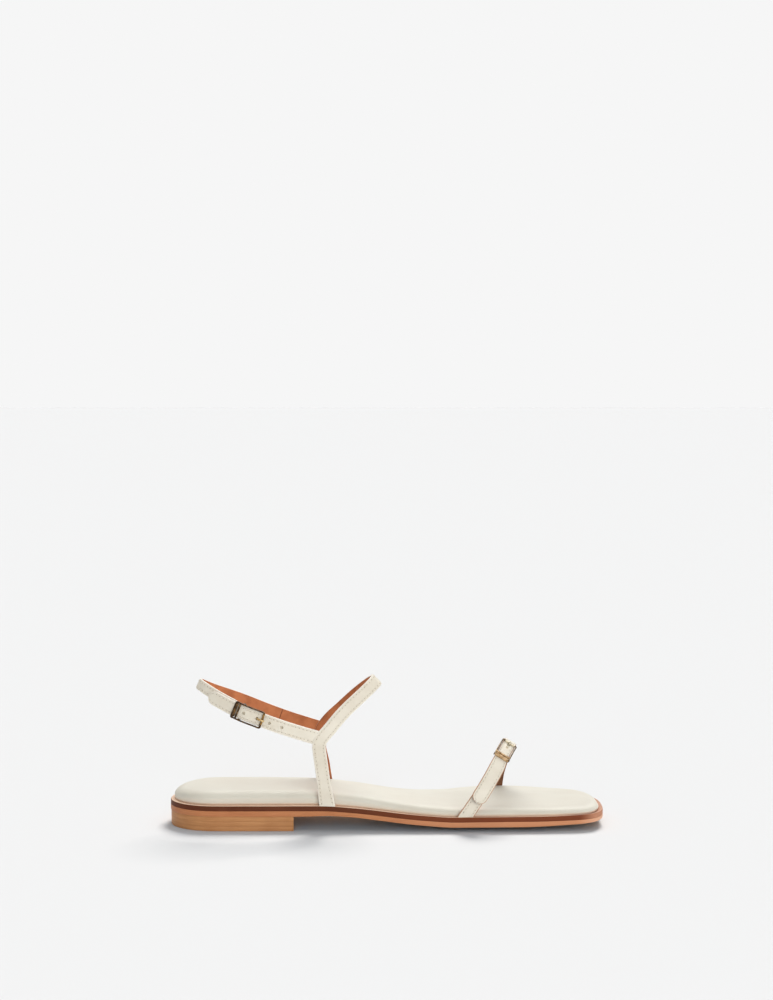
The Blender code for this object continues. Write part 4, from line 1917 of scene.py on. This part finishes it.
        # The middle of the front bar takes the bar metal, which carries the buckle's painted light.
        at_front = path[:, 0] > self.row.reach - self.paint_slack
        on_bar = at_front & (np.abs(path[:, 1]) < self.bar_light_share * half)
        on_keeper = path[:, 0] < self.keeper_half - self.keeper_back + self.paint_slack
        metal = np.where(on_keeper, int(Cast.KEEPER), np.where(on_bar, int(Cast.BAR), int(Cast.SIDE)))
        paint = np.repeat(metal[:, None], self.around, axis=1)
        pieces = [self.tube(self.row.name + "_loop", rings, metals.all, False, paint)]
        second = -self.keeper_back + self.keeper_half + self.keeper_step
        roof = self.roof(self.along(second))
        name = self.row.name + "_keeper"
        pieces.append(self.crossbar(second, self.second_half, self.keeper_rise, roof, name, metals.keeper))
        name = self.row.name + "_pivot"
        pieces.append(self.crossbar(0.0, self.pivot_half, self.pivot_half, self.pivot_low, name, metals.side))
        lug_top = self.roof(self.row.pivot) + self.lug_over
        for side in (-1, 1):
            rings = []
            for out in np.linspace(self.lug_low, lug_top, self.lug_steps):
                ring = []
                for turn in self.turns():
                    across = side * half + self.lug_half * math.sin(turn)
                    ring.append((self.lug_long * math.cos(turn), across, out))
                rings.append(np.array(ring))
            pieces.append(self.tube(self.row.name + "_lug", rings, (metals.side,)))
        return joined(self.row.name + "_frame", pieces)

    def build_prong(self, finish: bpy.types.Material) -> bpy.types.Object:
        """Prong from the pivot, up through its hole, to rest on the frame's bar.

        Args:
            finish: Metal.

        Returns:
            The prong.
        """
        hole = self.hole_forward()
        front = self.row.reach
        rest = self.roof(self.along(front)) + self.prong_over
        under = self.inner(self.along(hole)) - self.gap - self.prong_under
        rows = np.array(
            [
                (0.7, 1.0),
                (0.5 * hole, min(1.0, under)),
                (hole - 1.4, under),
                (hole - 0.5, under + 0.3),
                (hole + 0.5, rest - 0.5),
                (hole + 1.5, rest + 0.25),
                (front + 0.3, rest + 0.2),
                (front + 1.4, rest - 0.15),
            ]
        )
        end = rows[-1, 0]
        forward = np.linspace(rows[0, 0], end, self.prong_steps)
        height = spline(rows[:, 0], rows[:, 1:], forward)[:, 0]
        slope = np.gradient(height, forward)
        rings = []
        for x, z, rise in zip(forward, height, slope):
            past = max((x - end + self.prong_tip) / self.prong_taper, 0.0)
            tip = math.sqrt(max(1 - past**2, 0.0))
            tilt = math.atan(rise)
            ring = []
            for turn in self.turns():
                lift = self.prong_rise * tip * math.sin(turn)
                across = self.prong_half * tip * math.cos(turn)
                ring.append((x - lift * math.sin(tilt), across, z + lift * math.cos(tilt)))
            rings.append(np.array(ring))
        return self.tube(self.row.name + "_tongue", rings, (finish,))


@dataclass
class Straps:
    """Instep band, heel strap, holed strap, toe strap and toe holder, with their stitches and buckles."""

    form: SoleForm
    instep: Band = field(default_factory=lambda: Band(INSTEP_ROUTE))
    heel: Band = field(default_factory=lambda: Band(HEEL_ROUTE))
    toe: Band = field(default_factory=lambda: Band(TOE_ROUTE))
    step: float = 1.2
    strap_width: float = 8.0
    holed_width: float = 8.4
    heel_width: float = 6.6
    inner_width: float = 8.2
    inner_widens: float = 22.0
    flare: float = 1.2
    flare_length: float = 14.0
    strap_thick: float = 1.8
    stem_thick: float = 2.2
    tip_round: float = 4.0
    chape_drop: float = 1.2
    chape_slide: float = 6.0
    row: float = 1.45
    pitch: float = 2.3
    tip_count: int = 4
    hole_radius: float = 0.95
    toe_hole_long: float = 2.0
    hole_floor: float = 0.4
    toe_hole_step: float = 4.6
    holder_shift: float = 0.2
    tail_lift: float = 0.9
    tail_wider: float = 1.2
    tail_shift: float = 0.35
    tail_rise: float = 11.0
    fork_length: float = 12.0
    fork_tuck: float = 0.5
    stem_tuck: float = 0.3
    stem_pare: float = 0.5
    stem_reach: float = 6.0
    heel_lift: float = 0.15
    pivot_clear: float = 1.2
    hole_steps: tuple[float, ...] = (-15.2, -7.6, 0.0, 8.0)
    hole_sides: int = 24
    seam_x: float = -65.1
    end_margin: float = 1.5
    tip_margin: float = 3.4
    stem_margin: float = 5.0
    chape_margin: float = 3.0
    fork_margin: float = 4.0

    def build(self) -> None:
        """Build every strap with its stitches, then the buckles."""
        self.face = CreamFace(row=self.row, pitch=self.pitch).material()
        self.edge = CreamEdge().material()
        # Toe strap and holder take a darker brown copy of the cut edge: partly the lining's tone, partly
        # painted shade along the edge.
        self.brown_edge = CreamEdge("toe_strap_edge", tint(196, 150, 118), tint(164, 116, 86)).material()
        self.lining = TanLining().material()
        self.thread = CreamThread().material()
        # Painted shade for the walls and floor of the punched holes.
        self.hole = HoleShade().material()
        self.heel_buckle = Buckle(HEEL_BUCKLE, self.heel)
        self.toe_buckle = Buckle(TOE_BUCKLE, self.toe)
        self.build_instep()
        self.build_holed()
        self.build_heel()
        self.build_toe()
        self.build_holder()
        for buckle, metals in ((self.heel_buckle, self.heel_metals()), (self.toe_buckle, self.toe_metals())):
            name = buckle.row.name
            seat(buckle.build_frame(metals), "buckle_metal", name)
            seat(buckle.build_prong(metals.prong), "buckle_metal", name.replace("buckle", "prong"))

    @staticmethod
    def heel_metals() -> BuckleMetals:
        """Dark metals of the heel buckle, with painted highlight on the middle of its bar and on its bright
        prong.

        Returns:
            The metals.
        """
        dark = AgedGold(
            "heel_buckle_dark",
            tint(140, 106, 62),
            tint(66, 47, 28),
            (0.25, 0.52),
            metallic=0.7,
        ).material()
        bar = AgedGold("heel_buckle_bar", tint(186, 144, 84), tint(96, 68, 38), (0.3, 0.6)).material()
        prong = AgedGold("heel_buckle_prong", tint(240, 214, 160), tint(196, 158, 100), (0.4, 0.7)).material()
        return BuckleMetals(dark, bar, dark, prong)

    @staticmethod
    def toe_metals() -> BuckleMetals:
        """Light metals of the toe buckle, with darker sides; its pale bar and prong are a painted reflection
        of the pale studio, and its lighter, half-metallic keeper is painted light.

        Returns:
            The metals.
        """
        side = AgedGold("toe_buckle_side", tint(150, 130, 100), tint(98, 82, 62), (0.3, 0.6)).material()
        bar = AgedGold("toe_buckle_bar", tint(240, 230, 206), tint(220, 204, 170), (0.45, 0.8)).material()
        keeper = AgedGold(
            "toe_buckle_keeper",
            tint(214, 180, 136),
            tint(156, 120, 78),
            (0.36, 0.64),
            metallic=0.5,
        ).material()
        prong = AgedGold("toe_buckle_prong", tint(206, 198, 176), tint(168, 156, 130), (0.4, 0.7)).material()
        return BuckleMetals(side, bar, keeper, prong)

    def finishes(self) -> tuple[bpy.types.Material, ...]:
        """Face, lining and edge of a strap."""
        return (self.face, self.lining, self.edge)

    def flared(self, ends: Sequence[float]) -> Shift:
        """Width of a strap that widens a little where it meets the sole.

        Args:
            ends: Places along the route that stand on the sole.

        Returns:
            Width at a place along the route.
        """

        def width(along: float) -> float:
            """Width at one place."""
            nearest = min(abs(along - end) for end in ends)
            return self.strap_width + self.flare * (1 - smooth_step(nearest / self.flare_length))

        return width

    def sew(self, strap: Strap, start: float, end: float, tip: int = 0) -> None:
        """Sew a strap's rows of stitches.

        Args:
            strap: Strap to sew.
            start: Where the rows start along the route.
            end: Where they end.
            tip: 1 to sew round a tip at the end, -1 for a tip at the start.
        """
        places = strap.stitches(start, end, self.row, self.pitch)
        if tip:
            reach = strap.stations[-1] if tip > 0 else strap.stations[0]
            round_tip = strap.tip_stitches(float(reach), self.tip_round, tip, self.row, self.tip_count)
            places = np.vstack([places, round_tip])
        piece = StitchMaker().build(strap.name + "_stitches", strap.band, places, self.thread)
        seat(piece, "strap_leather")

    def build_instep(self) -> None:
        """Band from ledge to ledge over the instep."""
        length = self.instep.length
        strap = Strap(
            "instep_band",
            self.instep,
            spread(0.0, length, self.step),
            self.flared((0.0, length)),
            constant(0.0),
            constant(self.stem_thick),
        )
        piece = strap.build(self.finishes(), {0: self.form, -1: self.form})
        seat(piece, "strap_leather", "ankle_upper")
        self.sew(strap, self.end_margin, length - self.end_margin)

    def build_holed(self) -> None:
        """Strap with holes, from under the outer stem through the buckle to its tail."""
        buckle = self.heel_buckle

        def inner(along: float) -> float:
            """Inner face, drawn in where the strap goes under the stem."""
            return buckle.inner(along) - self.stem_tuck * (1 - smooth_step(along / self.stem_reach))

        def thick(along: float) -> float:
            """Thickness, pared away under the stem."""
            return self.strap_thick - self.stem_pare * (1 - smooth_step(along / self.stem_reach))

        strap = Strap(
            "holed_strap",
            self.heel,
            tip_stations(HEEL_BUCKLE.tail_end, self.tip_round, 0.0, self.step),
            tip_width(self.holed_width, HEEL_BUCKLE.tail_end, self.tip_round),
            inner,
            thick,
            constant(HEEL_BUCKLE.shift),
        )
        piece = strap.build(self.finishes())
        prong = buckle.along(buckle.hole_forward())
        self.punch(piece, strap, [prong + step for step in self.hole_steps])
        seat(piece, "strap_leather")
        self.sew(strap, self.stem_margin, HEEL_BUCKLE.tail_end - self.tip_margin, 1)

    def build_heel(self) -> None:
        """Strap from the buckle round the heel to the inner stem."""
        rear = 0.5 * self.heel.length
        start = HEEL_BUCKLE.pivot + self.pivot_clear

        def width(along: float) -> float:
            """Width, wider on the inner side."""
            reached = smooth_step((along - rear) / self.inner_widens)
            return self.heel_width + (self.inner_width - self.heel_width) * reached

        def shift(along: float) -> float:
            """Drop of the end that the buckle holds."""
            return -self.chape_drop * (1 - smooth_step((along - start) / self.chape_slide))

        def inner(along: float) -> float:
            """Inner face, drawn in where the lining runs on over the inner stem's rim."""
            near = smooth_step((along - self.heel.length + self.fork_length) / self.fork_length)
            return self.heel_lift - self.fork_tuck * near

        strap = Strap(
            "heel_strap",
            self.heel,
            spread(start, self.heel.length, self.step),
            width,
            inner,
            constant(self.strap_thick - self.heel_lift),
            shift,
        )
        lining = TanLining(
            "heel_strap_lining",
            tint(202, 126, 82),
            tint(172, 102, 64),
            seam_along=self.heel_seam(),
        ).material()
        seat(strap.build((self.face, lining, self.edge)), "strap_leather")
        self.sew(strap, start + self.chape_margin, self.heel.length - self.fork_margin)

    def heel_seam(self) -> float:
        """Seam in the heel strap's lining, on the inner side.

        Returns:
            Its place along the strap.
        """
        inner = self.heel.run > 0.5 * self.heel.length
        nearest = np.argmin(np.abs(self.heel.points[inner, 0] - self.seam_x))
        return float(self.heel.run[inner][nearest])

    def build_toe(self) -> None:
        """Strap from the inner ledge over the toes, through the buckle, to its tail."""
        length = self.toe.length
        tip = tip_width(self.strap_width + self.tail_wider, TOE_BUCKLE.tail_end, self.tip_round)
        flare = self.flared((length,))

        def tail(along: float) -> float:
            """1 on the tail, falling to 0 at the buckle."""
            return 1 - smooth_step((along - TOE_BUCKLE.pivot + self.tail_rise) / self.tail_rise)

        def width(along: float) -> float:
            """Width, round at the tail and flared at the ledge."""
            return flare(along) + (tip(along) - flare(along)) * tail(along)

        def shift(along: float) -> float:
            """Drift of the tail to the toe's side."""
            return self.tail_shift * tail(along)

        def inner(along: float) -> float:
            """Inner face, lifted a little at the tail."""
            lift = self.tail_lift * (1 - smooth_step((along - TOE_BUCKLE.tail_end) / self.tail_rise))
            return self.toe_buckle.inner(along) + lift

        strap = Strap(
            "toe_band",
            self.toe,
            tip_stations(TOE_BUCKLE.tail_end, self.tip_round, length, self.step),
            width,
            inner,
            constant(self.strap_thick),
            shift,
        )
        # Darker copy of the tan lining for the toe strap: painted shade under the strap.
        lining = TanLining("toe_strap_lining_painted_shade", tint(126, 85, 59), tint(98, 63, 43)).material()
        piece = strap.build((self.face, lining, self.brown_edge), {-1: self.form})
        prong = self.toe_buckle.along(self.toe_buckle.hole_forward())
        self.punch(piece, strap, [prong, prong - self.toe_hole_step], self.toe_hole_long)
        seat(piece, "strap_leather", "toe_strap")
        self.sew(strap, TOE_BUCKLE.tail_end + self.tip_margin, length - self.end_margin, -1)

    def build_holder(self) -> None:
        """Short strap that holds the toe buckle to the outer ledge."""
        strap = Strap(
            "toe_holder",
            self.toe,
            spread(0.0, TOE_BUCKLE.pivot - self.pivot_clear, self.step),
            constant(self.strap_width),
            constant(0.0),
            constant(self.strap_thick),
            constant(self.holder_shift),
        )
        piece = strap.build((self.face, self.lining, self.brown_edge), {0: self.form})
        seat(piece, "strap_leather", "toe_chape")
        self.sew(strap, self.end_margin, TOE_BUCKLE.pivot - self.fork_margin)

    def punch(self, piece: bpy.types.Object, strap: Strap, holes: Sequence[float], long: float = 1.0) -> None:
        """Cut holes in a strap, down to its lining.

        Args:
            piece: Strap to cut.
            strap: What it was made from.
            holes: Places along the strap.
            long: Length of a hole over its width.
        """
        for along in holes:
            across, low = strap.shift(along), strap.inner(along) + self.hole_floor
            high = low + 2 * strap.thick(along)
            ends = strap.band.at(np.array([[along, across, low], [along, across, high]])) * MM
            run = ends[1] - ends[0]
            deselect()
            bpy.ops.mesh.primitive_cylinder_add(
                vertices=self.hole_sides,
                radius=self.hole_radius * MM,
                depth=float(np.linalg.norm(run)),
                location=tuple(0.5 * (ends[0] + ends[1])),
            )
            cutter = bpy.context.active_object
            ahead = strap.band.at(np.array([[along + 1.0, across, low]]))[0] * MM - ends[0]
            axes = [Vector(ahead).normalized(), Vector(), Vector(run).normalized()]
            axes[1] = axes[2].cross(axes[0])
            turned = cutter.matrix_world @ Matrix(axes).transposed().to_4x4()
            cutter.matrix_world = turned @ Matrix.Diagonal((long, 1.0, 1.0, 1.0))
            # The cutter's dark finish stays on the walls and floor of the blind hole as painted shade.
            cutter.data.materials.append(self.hole)
            deselect()
            piece.select_set(True)
            bpy.context.view_layer.objects.active = piece
            cut = piece.modifiers.new("hole", "BOOLEAN")
            cut.operation = "DIFFERENCE"
            cut.solver = "EXACT"
            cut.object = cutter
            bpy.ops.object.modifier_apply(modifier=cut.name)
            bpy.data.objects.remove(cutter)
        deselect()


# Stage


class Lit(Enum):
    """What a light falls on."""

    FLOOR = "INCLUDE"
    SANDAL = "EXCLUDE"


@dataclass(frozen=True)
class SoftSun:
    """Broad soft light that stands in one direction."""

    name: str
    toward: tuple[float, float, float]
    spread_angle: float
    power: float
    lit: Lit
    color: tuple[float, float, float] = (1.0, 1.0, 1.0)

    def build(self, floor: bpy.types.Object) -> None:
        """Add the light.

        Args:
            floor: Floor, which the light either falls on alone or leaves out.
        """
        lamp = bpy.data.lights.new(self.name, "SUN")
        lamp.angle = math.radians(self.spread_angle)
        lamp.energy = self.power
        lamp.color = self.color
        light = bpy.data.objects.new(self.name, lamp)
        light.rotation_euler = Vector(self.toward).to_track_quat("Z", "Y").to_euler()
        bpy.context.scene.collection.objects.link(light)
        receivers = bpy.data.collections.new(self.name + "_receivers")
        receivers.objects.link(floor)
        receivers.collection_objects[0].light_linking.link_state = self.lit.value
        light.light_linking.receiver_collection = receivers


@dataclass
class Stage:
    """Pale floor, soft studio light and the photograph's camera."""

    camera_y: float = -1.308
    camera_z: float = 0.262
    pitch: float = 2.93
    lens: float = 77.58
    world: float = 0.922
    dim: float = 0.1
    overhead: float = 0.6
    dim_rise: tuple[float, float] = (0.19, 0.32)
    overhead_rise: tuple[float, float] = (0.52, 0.8)
    floor_size: float = 60.0
    sensor: float = 36.0
    farthest: float = 100.0

    def build(self) -> None:
        """Build the floor, the lights and the camera."""
        self.build_floor()
        self.build_lights()
        self.build_camera()

    def build_floor(self) -> None:
        """Wide floor."""
        deselect()
        bpy.ops.mesh.primitive_plane_add(size=self.floor_size, location=(0.0, 0.0, 0.0))
        self.floor = bpy.context.active_object
        self.floor.name = "studio_floor"
        self.floor.data.materials.append(PaleFloor().material())
        deselect()

    def build_lights(self) -> None:
        """Pale air, two lights for the floor, and one from above and one from the front for the sandal."""
        world = bpy.data.worlds.new("studio_air")
        bpy.context.scene.world = world
        air = Graph(world, "Background")
        way = air.node("ShaderNodeTexCoord", output="Generated")
        rise = air.node("ShaderNodeSeparateXYZ", None, {0: way}, "Z")
        light = self.world - (self.world - self.dim) * rise.eased(*self.dim_rise)
        light = light + (self.overhead - self.dim) * rise.eased(*self.overhead_rise)
        air.dress(Color=light, Strength=1.0)
        for sun in (
            SoftSun("behind", (0.3, 1.0, 1.2), 24.0, 3.18, Lit.FLOOR, (1.0, 0.96, 0.925)),
            SoftSun("low", (0.0, -1.0, 0.35), 30.0, 1.0, Lit.FLOOR, (0.42, 0.74, 1.0)),
            SoftSun("above", (0.1, 0.75, 1.0), 50.0, 2.4, Lit.SANDAL),
            SoftSun("front", (0.55, -1.0, 0.25), 50.0, 1.6, Lit.SANDAL),
        ):
            sun.build(self.floor)

    def build_camera(self) -> None:
        """Camera at the photograph's place and angle."""
        data = bpy.data.cameras.new("photo_camera")
        data.lens = self.lens
        data.sensor_width = self.sensor
        data.clip_end = self.farthest
        camera = bpy.data.objects.new("photo_camera", data)
        camera.location = (0.0, self.camera_y, self.camera_z)
        camera.rotation_euler = (math.radians(90.0 - self.pitch), 0.0, 0.0)
        bpy.context.scene.collection.objects.link(camera)
        bpy.context.scene.camera = camera
        bpy.context.scene.view_settings.view_transform = "Standard"


def main() -> None:
    """Build the sandal on its frame, then the stage."""
    logging.basicConfig(level=logging.INFO, format="%(name)s %(message)s")
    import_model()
    form = SoleForm()
    SoleStack(form).build()
    Straps(form).build()
    Stage().build()


if __name__ == "__main__":
    main()
